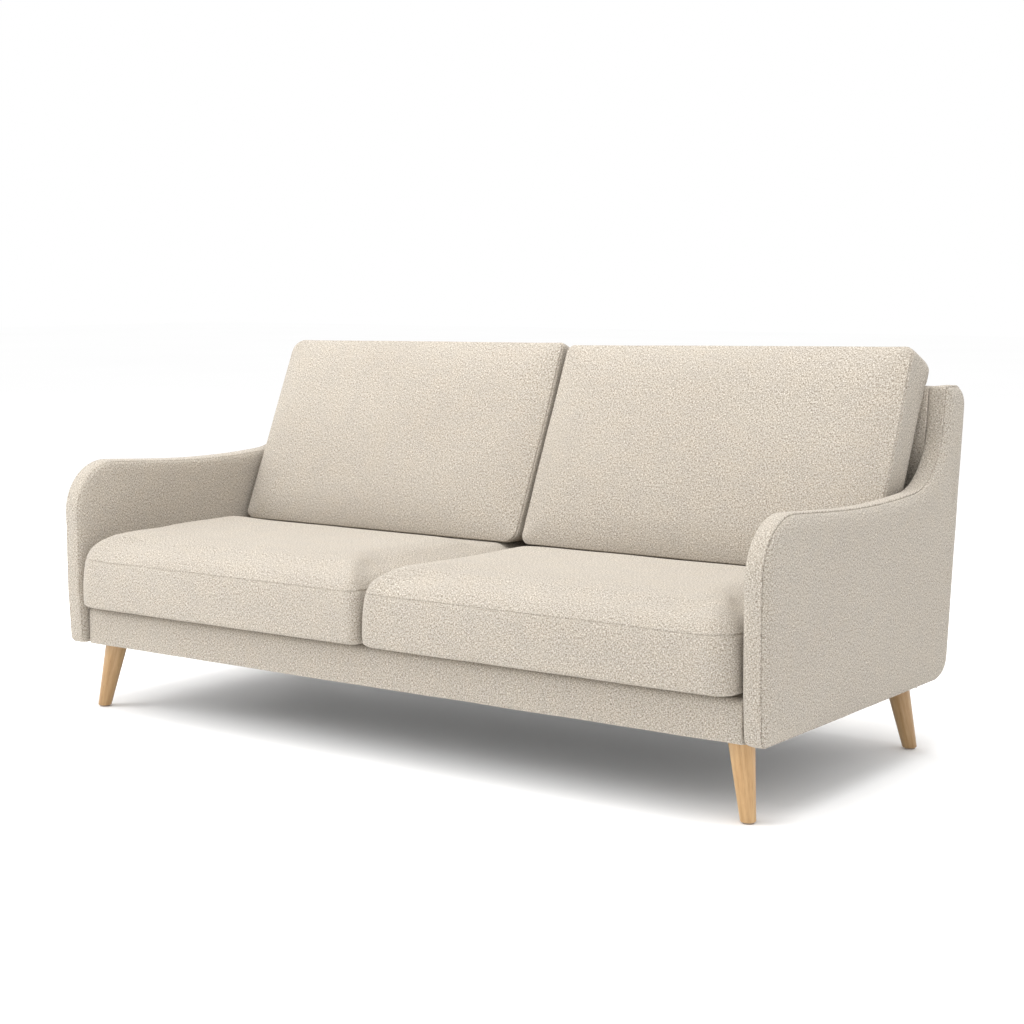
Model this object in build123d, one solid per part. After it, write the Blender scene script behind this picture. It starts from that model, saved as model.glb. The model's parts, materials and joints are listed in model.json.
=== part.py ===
from build123d import *
import math
import os

# Two-cushion sofa on four splayed wooden legs. Millimetres, +Z up, +Y towards the back, +X to
# the right in a front view, which is the sitter's left.
# Stations along Y are measured from the front edge of the arms. At the end the whole sofa is
# moved so that its origin lies on the floor, under the middle of its outer box.

# ---- driving dimensions ----
WIDTH = 2000
SIDE_THICKNESS = 58
UNDERSIDE = 167
BACK_TOP = 842
REAR_FOOT = 892          # Y of the rear face at the underside
BACK_SLOPE = 0.11        # rearward lean of the back, in mm per mm of height
BACK_DEPTH = 109         # horizontal thickness of the back and of the wings
ARM_FRONT_TOP = 633      # where the arm's front and top lines would meet
ARM_DIP = 600.7          # lowest line of the arm's top
ARM_DIP_Y = 498
ARM_SWEEP = 622          # height at which the arm's top would meet the wing's front edge
COVER = 2                # thickness of the upholstery fabric with its backing
SEAT_BOTTOM = 265
SEAT_TOP = 430
SEAT_OVERHANG = 30       # the seat cushions stand this far in front of the arms
SEAT_REAR = 780
BACK_CUSHION_LEAN = 24   # degrees from vertical
BACK_CUSHION_FOOT = 560  # Y of the front lower edge of a back cushion
BACK_CUSHION_THICKNESS = 102
BACK_CUSHION_HEIGHT = 538
LEG_TOP_RADIUS = 28
LEG_FOOT_RADIUS = 16

# ---- derived stations ----
HALF = WIDTH / 2
SIDE_INNER = HALF - SIDE_THICKNESS
BASE_HALF = SIDE_INNER - 4
SIDES = (("left", -1), ("right", 1))

# timber base
RAIL = 25
RAIL_BOTTOM = UNDERSIDE + 4
RAIL_TOP = 240
FRONT_FACE = 23          # front of the upholstered rail, behind the arms' front edge
FRONT_RAIL_Y = 38
REAR_RAIL_Y = 850
REAR_RAIL = 28
CENTRE_RAIL_TOP = 228
SIDE_RAIL_INNER = BASE_HALF - RAIL
BLOCK_LEG = 120
BLOCK_TOP = 235
RAIL_PAD_TOP = 258
RAIL_PAD_REAR = 49

# side panels
SIDE_EDGE_ROUND = 8
PLY = 18
PLY_INSET = 22
PLY_INNER = SIDE_INNER + 20
PLY_SWEEP = 600          # as ARM_SWEEP, on the plywood
PLY_BEND = 225           # height at which its rear edge turns in
PLY_FOOT_REAR = 825
ARM_HOLE_AT = (330, 400)    # (Y, Z) of its middle
ARM_HOLE = (360, 150)       # length, height
WING_HOLE_AT = (760, 480)
WING_HOLE_RADIUS = 45
COVER_FLANGE = 12        # width of cover turned in under a side panel
COVER_OPENING = (60, 830)

# bolts that hold the side panels
BASE_BOLT_Y = (230, 450, 680)
BASE_BOLT_Z = 205
BACK_BOLT_Z = (400, 690)
BACK_BOLT_IN = 36        # forward of the rear face
BOLT_HEAD = 6
BOLT_HEAD_RADIUS = 7

# back frame: distances forward of the rear face
POST_NEAR = 10
POST_FAR = 56
POST_TOP = 770
TOP_RAIL_TOP = 806
BACK_COVER_TOP = BACK_TOP - 4
BACK_PAD_NEAR = 62
BACK_COVER_SPLIT = 790   # height of the seam between the inside and outside back covers
LOWER_RAIL = (330, 370)
STRAP = 50
STRAP_THICKNESS = 2
STRAP_ENDS = (335, 800)
STRAPS_PER_SIDE = 4
STRAP_FIRST = 130        # X of the innermost upright strap
STRAP_PITCH = 220
CROSS_STRAPS = (460, 620)
CROSS_STRAP_LAP = 10     # on each post

# springs and deck
SPRING_COUNT = 8
SPRING_WIRE = 2          # radius
SPRING_HALF_WIDTH = 24
SPRING_BENDS = 16
SPRING_Z = RAIL_TOP + 3.5
SPRING_FRONT = 56.5
SPRING_REAR = 857
CLIP_HALF = (10, 5.5)
CLIP_RISE = 4            # of a clip above the wire's axis
TIE_RADIUS = 1.5
TIE_Y = (330, 580)
TIE_END = 30             # past the outermost springs
FELT_BOTTOM = 250
PAD_BOTTOM = 252
DECK_CLOTH_BOTTOM = 262
DECK_CLOTH = 1.5
DECK_REAR = 786

# legs and their fittings
LEG_IN_X = 98            # leg centre from the side of the sofa, at the underside
LEG_IN_FRONT = 84
LEG_IN_REAR = 76
LEG_SPLAY_X = 30         # how far the foot stands outside the top
LEG_SPLAY_Y = 21
GLIDE = 3
GLIDE_RADIUS = 12
PLATE = 65
PLATE_THICKNESS = 2.8
SCREW_PITCH = 48
SCREW_RADIUS = 1.8
SCREW_LENGTH = 18
SCREW_HEAD = 2.2
SCREW_HEAD_RADIUS = 3.6
BOLT_RADIUS = 4
HANGER_LENGTH = 66
FREE = 0.2               # play around a bolt or screw

# cushions
CUSHION_GAP = 3          # between the two seat cushions
SEAT_SIDE_GAP = 3
SEAT_CORNER = 40         # roundings of a seat cushion
SEAT_TOP_ROUND = 34
SEAT_BOTTOM_ROUND = 18
BACK_HALF_SPAN = 927     # the two back cushions reach this far each side
BACK_FOOT = SEAT_TOP + 1
BACK_ROUNDS = [14, 20, 20, 14]
BACK_SIDE_ROUND = 12
BACK_ZIP_IN = 60         # behind the cushion's front lower edge
ZIP_HEIGHT = 10
ZIP_LENGTH = 620

STANDING = (Align.CENTER, Align.CENTER, Align.MIN)
HANGING = (Align.CENTER, Align.CENTER, Align.MAX)


def rear(z):
    """Y of the sofa's rear face at height z."""
    return REAR_FOOT + BACK_SLOPE * (z - UNDERSIDE)


def front_of_back(z):
    """Y of the front face of the back, and of the wings' front edge, at height z."""
    return rear(z) - BACK_DEPTH


def prism(outline, x_low, x_high):
    """A face drawn in (Y, Z), run along X."""
    return Pos(x_low, 0, 0) * extrude(Plane.YZ * outline, amount=x_high - x_low)


def block(x, y, z):
    """A box from (low, high) pairs."""
    low, high = zip(x, y, z)
    size = [b - a for a, b in zip(low, high)]
    return Pos(*low) * Box(*size, align=(Align.MIN,) * 3)


def polygon(*points):
    return make_face(Polyline(*points, close=True))


def leaning(near, far, z_low, z_high):
    """The (Y, Z) face between two distances forward of the rear face."""
    return polygon(
        (rear(z_low) - near, z_low),
        (rear(z_low) - far, z_low),
        (rear(z_high) - far, z_high),
        (rear(z_high) - near, z_high),
    )


def mirrored(shape, side):
    """The right-hand shape, or its mirror image for the left-hand side."""
    return shape if side > 0 else mirror(shape, about=Plane.YZ)


# ---- side panels: arm and wing in one ----
def rounded(corners):
    """A closed face from (point, radius of its rounding) pairs."""
    points = [point for point, radius in corners]
    radii = [radius for point, radius in corners]
    return make_face(FilletPolyline(*points, radius=radii, close=True))


def side_outline():
    """Arm and wing seen from the side: upright front, dipping top, sweep up to the wing."""
    return rounded([
        ((8, UNDERSIDE), 20),
        ((0, 300), 600),
        ((0, ARM_FRONT_TOP), 125),
        ((ARM_DIP_Y, ARM_DIP), 3000),
        ((front_of_back(ARM_SWEEP), ARM_SWEEP), 160),
        ((front_of_back(BACK_TOP), BACK_TOP), 10),
        ((rear(BACK_TOP), BACK_TOP), 45),
        ((REAR_FOOT, UNDERSIDE), 55),
    ])


def side_body(inset):
    """The right-hand panel's soft outside, or its inside when inset by the cover."""
    outline = side_outline()
    if inset:
        outline = offset(outline, amount=-inset)
    body = prism(outline, SIDE_INNER + inset, HALF - inset)
    flats = body.faces().filter_by(Axis.X)
    return fillet(flats.edges(), SIDE_EDGE_ROUND - inset)


def side_bolt_places():
    """(Y, Z) of the bolts that hold a side panel to the base and to the back."""
    base = [(y, BASE_BOLT_Z) for y in BASE_BOLT_Y]
    back = [(rear(z) - BACK_BOLT_IN, z) for z in BACK_BOLT_Z]
    return base + back


def side_bolts(play=0.0):
    """Right-hand panel bolts: a shank through rail or post into the plywood, and a head."""
    length = PLY_INNER + PLY - SIDE_RAIL_INNER
    bolts = []
    for y, z in side_bolt_places():
        shank = Cylinder(BOLT_RADIUS + play, length, align=STANDING)
        cap = Cylinder(BOLT_HEAD_RADIUS + play, BOLT_HEAD, align=HANGING)
        bolts.append(Pos(SIDE_RAIL_INNER, y, z) * Rot(0, 90, 0) * (shank + cap))
    return bolts


def side_cover():
    cover = side_body(0) - side_body(COVER)
    opening = block(
        (SIDE_INNER + COVER_FLANGE, HALF - COVER_FLANGE),
        COVER_OPENING,
        (UNDERSIDE - 1, UNDERSIDE + COVER + 1),
    )
    return cover - opening - side_bolts(FREE)


def ply_panel():
    """The plywood's outline follows the panel's, inset, and stands on the cover's bottom."""
    top = BACK_TOP - PLY_INSET
    foot = UNDERSIDE + COVER
    outline = rounded([
        ((PLY_INSET, foot), 20),
        ((PLY_INSET, ARM_FRONT_TOP - PLY_INSET), 103),
        ((ARM_DIP_Y, ARM_DIP - PLY_INSET), 3000),
        ((front_of_back(PLY_SWEEP) + PLY_INSET, PLY_SWEEP), 180),
        ((front_of_back(top) + PLY_INSET, top), 0),
        ((rear(top) - PLY_INSET, top), 23),
        ((rear(PLY_BEND) - PLY_INSET, PLY_BEND), 20),
        ((PLY_FOOT_REAR, foot), 0),
    ])
    return prism(outline, PLY_INNER, PLY_INNER + PLY)


def side_frame():
    """Plywood panel with two lightening holes."""
    length, height = ARM_HOLE
    through = 4 * PLY
    arm_hole = Pos(HALF, *ARM_HOLE_AT) * Rot(0, 90, 0) * Box(height, length, through)
    wing_hole = Pos(HALF, *WING_HOLE_AT) * Rot(0, 90, 0) * Cylinder(WING_HOLE_RADIUS, through)
    return ply_panel() - arm_hole - wing_hole - side_bolts(FREE)


def side_foam():
    return side_body(COVER) - ply_panel() - side_bolts(FREE)


# ---- back between the side panels ----
def back_outline():
    """Section of the back and of the base's rear edge, with the cover on."""
    shelf = RAIL_TOP + 4
    notch = REAR_RAIL_Y - 35
    return rounded([
        ((front_of_back(shelf), shelf), 1),
        ((front_of_back(BACK_COVER_TOP), BACK_COVER_TOP), 10),
        ((rear(BACK_COVER_TOP), BACK_COVER_TOP), 45),
        ((REAR_FOOT, UNDERSIDE), 55),
        ((notch, UNDERSIDE), 1),
        ((notch, shelf), 1),
    ])


def back_inside():
    return offset(back_outline(), amount=-COVER)


def inside_back_cover():
    """Front and top of the back, over the top and down to the seam behind."""
    skin = back_outline() - back_inside()
    front = leaning(BACK_PAD_NEAR, BACK_DEPTH + 20, RAIL_TOP + 8, BACK_TOP)
    top = leaning(-20, BACK_DEPTH + 20, BACK_COVER_SPLIT, BACK_TOP)
    return prism(skin & (front + top), -SIDE_INNER + 1, SIDE_INNER - 1)


def outside_back_cover():
    """Rear face, turned under the base's rear edge."""
    skin = back_outline() - back_inside()
    region = polygon(
        (REAR_RAIL_Y, UNDERSIDE - 1),
        (REAR_RAIL_Y, UNDERSIDE + COVER + 1),
        (REAR_RAIL_Y + 20, RAIL_TOP + 8),
        (rear(BACK_COVER_SPLIT) - 20, BACK_COVER_SPLIT - 0.3),
        (rear(BACK_COVER_SPLIT) + 60, BACK_COVER_SPLIT - 0.3),
        (rear(BACK_COVER_SPLIT) + 60, UNDERSIDE - 1),
    )
    return prism(skin & region, -SIDE_INNER + 1, SIDE_INNER - 1)


def back_pad():
    region = leaning(BACK_PAD_NEAR, BACK_DEPTH + 20, RAIL_TOP + 12, BACK_TOP)
    return prism(back_inside() & region, -BASE_HALF, BASE_HALF)


def back_top_pad():
    region = leaning(-20, BACK_PAD_NEAR - 1, TOP_RAIL_TOP, BACK_TOP)
    return prism(back_inside() & region, -BASE_HALF, BASE_HALF)


def back_posts():
    face = leaning(POST_NEAR, POST_FAR, RAIL_TOP, POST_TOP)
    ends = [prism(face, SIDE_RAIL_INNER, BASE_HALF), prism(face, -BASE_HALF, -SIDE_RAIL_INNER)]
    drilled = [end - both_sides(side_bolts(FREE)) for end in ends]
    return [*drilled, prism(face, -RAIL / 2, RAIL / 2)]


def back_top_rail():
    face = leaning(POST_NEAR, POST_FAR, POST_TOP, TOP_RAIL_TOP)
    return prism(face, -BASE_HALF, BASE_HALF)


def back_lower_rail():
    """One length each side of the middle post."""
    face = leaning(POST_NEAR, POST_FAR, *LOWER_RAIL)
    return [prism(face, -SIDE_RAIL_INNER, -RAIL / 2), prism(face, RAIL / 2, SIDE_RAIL_INNER)]


def back_webbing():
    """Upright straps on the frame's front, and two cross straps in front of them."""
    upright = leaning(POST_FAR, POST_FAR + STRAP_THICKNESS, *STRAP_ENDS)
    half_span = SIDE_RAIL_INNER + CROSS_STRAP_LAP
    straps = []
    for step in range(STRAPS_PER_SIDE):
        middle = STRAP_FIRST + step * STRAP_PITCH
        for sign in (-1, 1):
            straps.append(prism(upright, sign * middle - STRAP / 2, sign * middle + STRAP / 2))
    in_front = POST_FAR + STRAP_THICKNESS + 0.3
    for z in CROSS_STRAPS:
        cross = leaning(in_front, in_front + STRAP_THICKNESS, z, z + STRAP)
        straps.append(prism(cross, -half_span, half_span))
    return straps


# ---- timber base ----
def both_sides(shapes):
    return [*shapes, *[mirror(shape, about=Plane.YZ) for shape in shapes]]


def front_rail():
    rail = block(
        (-BASE_HALF, BASE_HALF),
        (FRONT_RAIL_Y, FRONT_RAIL_Y + RAIL),
        (RAIL_BOTTOM, RAIL_TOP),
    )
    return rail - leg_holes()


def rear_rail():
    """Its lower rear edge is planed to the curve of the cover."""
    square = polygon(
        (REAR_RAIL_Y, RAIL_BOTTOM),
        (REAR_RAIL_Y + REAR_RAIL, RAIL_BOTTOM),
        (REAR_RAIL_Y + REAR_RAIL, RAIL_TOP),
        (REAR_RAIL_Y, RAIL_TOP),
    )
    return prism(square & offset(back_outline(), amount=-2 * COVER), -BASE_HALF, BASE_HALF)


def side_rail():
    rail = block(
        (SIDE_RAIL_INNER, BASE_HALF),
        (FRONT_RAIL_Y + RAIL, REAR_RAIL_Y),
        (RAIL_BOTTOM, RAIL_TOP),
    )
    return rail - side_bolts(FREE) - leg_holes()


def centre_rail():
    return block(
        (-RAIL / 2, RAIL / 2),
        (FRONT_RAIL_Y + RAIL, REAR_RAIL_Y),
        (RAIL_BOTTOM, CENTRE_RAIL_TOP),
    )


def corner_blocks():
    """Triangular glue blocks that the legs screw up into."""
    blocks = []
    for y, inward in ((FRONT_RAIL_Y + RAIL, 1), (REAR_RAIL_Y, -1)):
        corner = (SIDE_RAIL_INNER, y)
        along_rail = (SIDE_RAIL_INNER - BLOCK_LEG, y)
        along_side = (SIDE_RAIL_INNER, y + inward * BLOCK_LEG)
        face = polygon(corner, along_rail, along_side)
        solid = extrude(face, amount=BLOCK_TOP - RAIL_BOTTOM, dir=(0, 0, 1))
        blocks.append(Pos(0, 0, RAIL_BOTTOM) * solid)
    holes = leg_holes()
    return [part - holes for part in both_sides(blocks)]


def rail_pad_outline():
    """The padded rail's section, drawn on past the pad's rear."""
    beyond = RAIL_PAD_REAR + 10
    return rounded([
        ((FRONT_FACE, UNDERSIDE), 6),
        ((FRONT_FACE, RAIL_PAD_TOP + COVER), 16),
        ((beyond, RAIL_PAD_TOP + COVER), 1),
        ((beyond, UNDERSIDE), 1),
    ])


def before_rail_pad_rear():
    return polygon(
        (0, 0),
        (RAIL_PAD_REAR, 0),
        (RAIL_PAD_REAR, SEAT_BOTTOM),
        (0, SEAT_BOTTOM),
    )


def front_rail_cover():
    outline = rail_pad_outline()
    skin = (outline - offset(outline, amount=-COVER)) & before_rail_pad_rear()
    return prism(skin, -BASE_HALF, BASE_HALF)


def front_rail_pad():
    """Foam over the rail's front and its upper edge."""
    inside = offset(rail_pad_outline(), amount=-COVER) & before_rail_pad_rear()
    timber = polygon(
        (FRONT_RAIL_Y, 0),
        (REAR_FOOT, 0),
        (REAR_FOOT, RAIL_TOP),
        (FRONT_RAIL_Y, RAIL_TOP),
    )
    return prism(inside - timber, -BASE_HALF + COVER, BASE_HALF - COVER)


def dust_cover():
    """Thin cloth stapled under the base, with the leg screws through it."""
    sheet = block(
        (-BASE_HALF, BASE_HALF),
        (RAIL_PAD_REAR + 1, REAR_RAIL_Y - 1),
        (UNDERSIDE + PLATE_THICKNESS, RAIL_BOTTOM),
    )
    return sheet - leg_holes()


# ---- springs and deck ----
def spring_places():
    """X of each spring, clear of the middle rail."""
    pitch = 2 * SIDE_RAIL_INNER / SPRING_COUNT
    return [-SIDE_RAIL_INNER + pitch * (index + 0.5) for index in range(SPRING_COUNT)]


def zigzag_spring():
    """Sinuous wire: straight bars joined by half-round bends."""
    step = (SPRING_REAR - SPRING_FRONT) / SPRING_BENDS
    bend = step / 2
    edges = []
    side = 1
    for index in range(SPRING_BENDS + 1):
        y = SPRING_FRONT + index * step
        edges.append(Line((-side * SPRING_HALF_WIDTH, y), (side * SPRING_HALF_WIDTH, y)))
        if index < SPRING_BENDS:
            turn = CenterArc((side * SPRING_HALF_WIDTH, y + bend), bend, -90, 180 * side)
            edges.append(turn)
        side = -side
    path = Wire(edges)
    start = Plane(origin=path @ 0, z_dir=path % 0)
    return Pos(0, 0, SPRING_Z) * sweep(start * Circle(SPRING_WIRE), path=path)


def seat_springs():
    spring = zigzag_spring()
    return [Pos(x, 0, 0) * spring for x in spring_places()]


def spring_clips():
    """Folded clips that hold the end bars down on the front and rear rails."""
    clips = []
    half_x, half_y = CLIP_HALF
    tunnel = Rot(0, 90, 0) * Cylinder(SPRING_WIRE + FREE, 4 * half_x)
    for x in spring_places():
        for y in (SPRING_FRONT, SPRING_REAR):
            body = block((-half_x, half_x), (-half_y, half_y), (RAIL_TOP - SPRING_Z, CLIP_RISE))
            clips.append(Pos(x, y, SPRING_Z) * (body - tunnel))
    return clips


def spring_ties():
    """Straight wires that link the springs across the seat."""
    z = SPRING_Z + SPRING_WIRE + TIE_RADIUS + FREE
    length = 2 * (spring_places()[-1] + TIE_END)
    rod = Rot(0, 90, 0) * Cylinder(TIE_RADIUS, length)
    return [Pos(0, y, z) * rod for y in TIE_Y]


def deck_felt():
    return block((-BASE_HALF, BASE_HALF), (66, DECK_REAR), (FELT_BOTTOM, PAD_BOTTOM))


def deck_pad():
    return block((-BASE_HALF, BASE_HALF), (52, DECK_REAR), (PAD_BOTTOM, DECK_CLOTH_BOTTOM))


def deck_cloth():
    cloth_top = DECK_CLOTH_BOTTOM + DECK_CLOTH
    return block((-BASE_HALF, BASE_HALF), (52, DECK_REAR + 2), (DECK_CLOTH_BOTTOM, cloth_top))


# ---- legs ----
def leg_places():
    """Name, the leg's centre at the underside, and which way it splays."""
    rows = (("front", LEG_IN_FRONT, -1), ("rear", REAR_FOOT - LEG_IN_REAR, 1))
    for row, y, out in rows:
        for name, side in SIDES:
            top = Vector(side * (HALF - LEG_IN_X), y, UNDERSIDE)
            yield f"{row}_{name}", top, side, out


def leg_axis(top, side, out):
    """Plane at the leg's top, its normal running down the splayed axis."""
    down = Vector(side * LEG_SPLAY_X, out * LEG_SPLAY_Y, -UNDERSIDE)
    return Plane(origin=top, z_dir=down)


def hanger_bolt(top, side, out, play=0.0):
    return leg_axis(top, side, out) * Cylinder(BOLT_RADIUS + play, HANGER_LENGTH + 2 * play)


def leg(top, side, out):
    """Tapered round leg, cut level at the top and the foot, its lower edge eased."""
    spread = math.hypot(LEG_SPLAY_X, LEG_SPLAY_Y, UNDERSIDE)
    taper = (LEG_TOP_RADIUS - LEG_FOOT_RADIUS) / spread
    extra = 30
    cone = Cone(
        LEG_TOP_RADIUS + taper * extra,
        LEG_FOOT_RADIUS - taper * extra,
        spread + 2 * extra,
        align=STANDING,
    )
    long_leg = leg_axis(top, side, out) * (Pos(0, 0, -extra) * cone)
    reach = 200
    level = Pos(top.X, top.Y, 0) * block((-reach, reach), (-reach, reach), (GLIDE, UNDERSIDE))
    cut = long_leg & level
    foot_edge = cut.edges().sort_by(Axis.Z)[0]
    return fillet(foot_edge, 3) - hanger_bolt(top, side, out, FREE)


def leg_screws(top, play=0.0):
    """Four countersunk screws through one plate."""
    half = SCREW_PITCH / 2
    screws = []
    for x in (-half, half):
        for y in (-half, half):
            radius = SCREW_RADIUS + play
            shank = Cylinder(radius, SCREW_LENGTH + play, align=STANDING)
            head = Cone(SCREW_HEAD_RADIUS + play, radius, SCREW_HEAD, align=STANDING)
            screws.append(Pos(top.X + x, top.Y + y, UNDERSIDE) * (shank + head))
    return screws


def leg_holes():
    """Everything that a leg's bolt and screws need drilled, at all four corners."""
    holes = []
    for name, top, side, out in leg_places():
        holes += [hanger_bolt(top, side, out, FREE), *leg_screws(top, FREE)]
    return holes


def leg_plates():
    plates = []
    for name, top, side, out in leg_places():
        plate = Pos(top.X, top.Y, UNDERSIDE) * Box(PLATE, PLATE, PLATE_THICKNESS, align=STANDING)
        plates.append(plate - hanger_bolt(top, side, out, FREE) - leg_screws(top, FREE))
    return plates


def leg_glides():
    """Nylon pads under the feet."""
    pads = []
    for name, top, side, out in leg_places():
        share = (UNDERSIDE - GLIDE) / UNDERSIDE
        x = top.X + side * LEG_SPLAY_X * share
        y = top.Y + out * LEG_SPLAY_Y * share
        pads.append(Pos(x, y, 0) * Cylinder(GLIDE_RADIUS, GLIDE, align=STANDING))
    return pads


# ---- cushions ----
def seat_block(inset):
    """The right-hand seat cushion's outside, or its inside when inset by the cover."""
    x = (CUSHION_GAP / 2 + inset, SIDE_INNER - SEAT_SIDE_GAP - inset)
    y = (-SEAT_OVERHANG + inset, SEAT_REAR - inset)
    z = (SEAT_BOTTOM + inset, SEAT_TOP - inset)
    body = block(x, y, z)
    body = fillet(body.edges().filter_by(Axis.Z), SEAT_CORNER - inset)
    body = fillet(body.faces().sort_by(Axis.Z)[-1].edges(), SEAT_TOP_ROUND - inset)
    return fillet(body.faces().sort_by(Axis.Z)[0].edges(), SEAT_BOTTOM_ROUND - inset)


def seat_zip_slot():
    middle = (CUSHION_GAP / 2 + SIDE_INNER - SEAT_SIDE_GAP) / 2
    height = (SEAT_BOTTOM + SEAT_TOP) / 2
    return block(
        (middle - ZIP_LENGTH / 2, middle + ZIP_LENGTH / 2),
        (SEAT_REAR - COVER, SEAT_REAR),
        (height - ZIP_HEIGHT / 2, height + ZIP_HEIGHT / 2),
    )


def seat_cover():
    return seat_block(0) - seat_block(COVER) - seat_zip_slot()


def back_cushion_section(inset):
    """Leaning cushion with its foot cut level, where it stands on the seat cushion."""
    lean = math.radians(BACK_CUSHION_LEAN)
    up = Vector(math.sin(lean), math.cos(lean))
    through = Vector(math.cos(lean), -math.sin(lean))
    front_low = Vector(BACK_CUSHION_FOOT, BACK_FOOT)
    front_top = front_low + up * BACK_CUSHION_HEIGHT
    rear_top = front_top + through * BACK_CUSHION_THICKNESS
    rear_low = rear_top - up * ((rear_top.Y - BACK_FOOT) / up.Y)
    points = [(p.X, p.Y) for p in (front_low, front_top, rear_top, rear_low)]
    face = make_face(FilletPolyline(*points, radius=BACK_ROUNDS, close=True))
    return offset(face, amount=-inset) if inset else face


def back_block(inset):
    x_low = CUSHION_GAP + inset
    x_high = BACK_HALF_SPAN - inset
    body = prism(back_cushion_section(inset), x_low, x_high)
    return fillet(body.faces().filter_by(Axis.X).edges(), BACK_SIDE_ROUND - inset)


def back_zip_slot():
    middle = (CUSHION_GAP + BACK_HALF_SPAN) / 2
    y = BACK_CUSHION_FOOT + BACK_ZIP_IN
    return block(
        (middle - ZIP_LENGTH / 2, middle + ZIP_LENGTH / 2),
        (y - ZIP_HEIGHT / 2, y + ZIP_HEIGHT / 2),
        (BACK_FOOT, BACK_FOOT + COVER),
    )


def back_cushion_cover():
    return back_block(0) - back_block(COVER) - back_zip_slot()


def zip_strip(slot):
    """A closed zip: the tape filling its slot, less a hair's breadth all round."""
    box = slot.bounding_box()
    play = 0.1
    return block(
        (box.min.X + play, box.max.X - play),
        (box.min.Y + play, box.max.Y - play),
        (box.min.Z + play, box.max.Z - play),
    )


# ---- all the pieces ----
def fixed_pieces():
    pieces = {
        "front_rail": front_rail(),
        "rear_rail": rear_rail(),
        "centre_rail": centre_rail(),
        "corner_blocks": corner_blocks(),
        "back_posts": back_posts(),
        "back_top_rail": back_top_rail(),
        "back_lower_rail": back_lower_rail(),
        "back_webbing": back_webbing(),
        "seat_springs": seat_springs(),
        "spring_clips": spring_clips(),
        "spring_ties": spring_ties(),
        "deck_felt": deck_felt(),
        "deck_pad": deck_pad(),
        "deck_cloth": deck_cloth(),
        "front_rail_pad": front_rail_pad(),
        "front_rail_cover": front_rail_cover(),
        "back_pad": back_pad(),
        "back_top_pad": back_top_pad(),
        "inside_back_cover": inside_back_cover(),
        "outside_back_cover": outside_back_cover(),
        "dust_cover": dust_cover(),
        "side_bolts": both_sides(side_bolts()),
        "leg_plates": leg_plates(),
        "leg_glides": leg_glides(),
        "leg_bolts": [hanger_bolt(top, side, out) for name, top, side, out in leg_places()],
        "leg_screws": [s for name, top, side, out in leg_places() for s in leg_screws(top)],
    }
    for name, top, side, out in leg_places():
        pieces[f"leg_{name}"] = leg(top, side, out)
    return pieces


def handed_pieces():
    """Right-hand shapes that have a mirror image on the left."""
    return {
        "side_rail": side_rail(),
        "side_frame": side_frame(),
        "side_foam": side_foam(),
        "side_cover": side_cover(),
        "seat_cushion_cover": seat_cover(),
        "seat_cushion_foam": seat_block(COVER),
        "seat_cushion_zip": zip_strip(seat_zip_slot()),
        "back_cushion_cover": back_cushion_cover(),
        "back_cushion_filling": back_block(COVER),
        "back_cushion_zip": zip_strip(back_zip_slot()),
    }


def all_pieces():
    pieces = fixed_pieces()
    for name, shape in handed_pieces().items():
        for side_name, side in SIDES:
            pieces[f"{name}_{side_name}"] = mirrored(shape, side)
    return pieces


def solids_of(shape):
    """A flat list of the solids in a shape or a list of shapes."""
    shapes = shape if isinstance(shape, list) else [shape]
    return [solid for one in shapes for solid in one.solids()]


def main():
    os.makedirs("parts", exist_ok=True)
    pieces = {name: Compound(solids_of(shape)) for name, shape in all_pieces().items()}
    boxes = [shape.bounding_box() for shape in pieces.values()]
    front = min(box.min.Y for box in boxes)
    back = max(box.max.Y for box in boxes)
    to_origin = Pos(0, -(front + back) / 2, 0)
    print("depth", back - front, "Y of the middle", (front + back) / 2)
    for name, shape in pieces.items():
        export_step(to_origin * shape, f"parts/{name}.step")


main()
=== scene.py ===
import json
import math

import bpy
import numpy as np
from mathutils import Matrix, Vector, geometry, noise
from mathutils.bvhtree import BVHTree


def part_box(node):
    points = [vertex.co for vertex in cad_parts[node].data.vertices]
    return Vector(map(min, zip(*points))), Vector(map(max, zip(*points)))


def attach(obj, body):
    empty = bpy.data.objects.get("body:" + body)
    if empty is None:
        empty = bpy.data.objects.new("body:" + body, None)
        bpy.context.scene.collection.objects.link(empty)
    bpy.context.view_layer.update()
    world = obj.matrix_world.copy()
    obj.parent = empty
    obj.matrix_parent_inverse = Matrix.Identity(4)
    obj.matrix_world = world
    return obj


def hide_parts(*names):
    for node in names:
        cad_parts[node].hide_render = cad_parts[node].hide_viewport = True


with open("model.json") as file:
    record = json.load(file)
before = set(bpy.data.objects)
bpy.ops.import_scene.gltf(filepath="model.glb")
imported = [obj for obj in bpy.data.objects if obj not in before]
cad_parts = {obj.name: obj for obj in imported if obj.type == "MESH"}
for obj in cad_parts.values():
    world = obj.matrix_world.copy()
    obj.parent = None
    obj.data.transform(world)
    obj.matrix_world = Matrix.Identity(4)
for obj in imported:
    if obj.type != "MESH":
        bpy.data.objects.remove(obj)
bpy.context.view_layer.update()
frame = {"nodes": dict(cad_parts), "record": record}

UV = "cloth"

# ---------------------------------------------------------------- stations, metres
SIDE_LO, SIDE_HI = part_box("side_cover_right")
FRONT = SIDE_LO.y                    # front of the arms
UNDER = SIDE_LO.z                    # underside of the upholstery
TOP = SIDE_HI.z                      # top of the wings
INNER = SIDE_LO.x                    # inner faces of the side panels
REAR_FOOT = FRONT + 0.892            # rear face at the height of the underside
REAR_CORNER = 0.055                  # rounding there
BACK_SLOPE = 0.11                    # rearward lean of the back
BACK_DEPTH = 0.109                   # horizontal thickness of the back
BACK_TOP = 0.842                     # height of the back, for what leans on it
WING_FOOT = 0.622                    # height where the wings rise from the arms
LEAN = math.radians(24)              # lean of the back cushions


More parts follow.
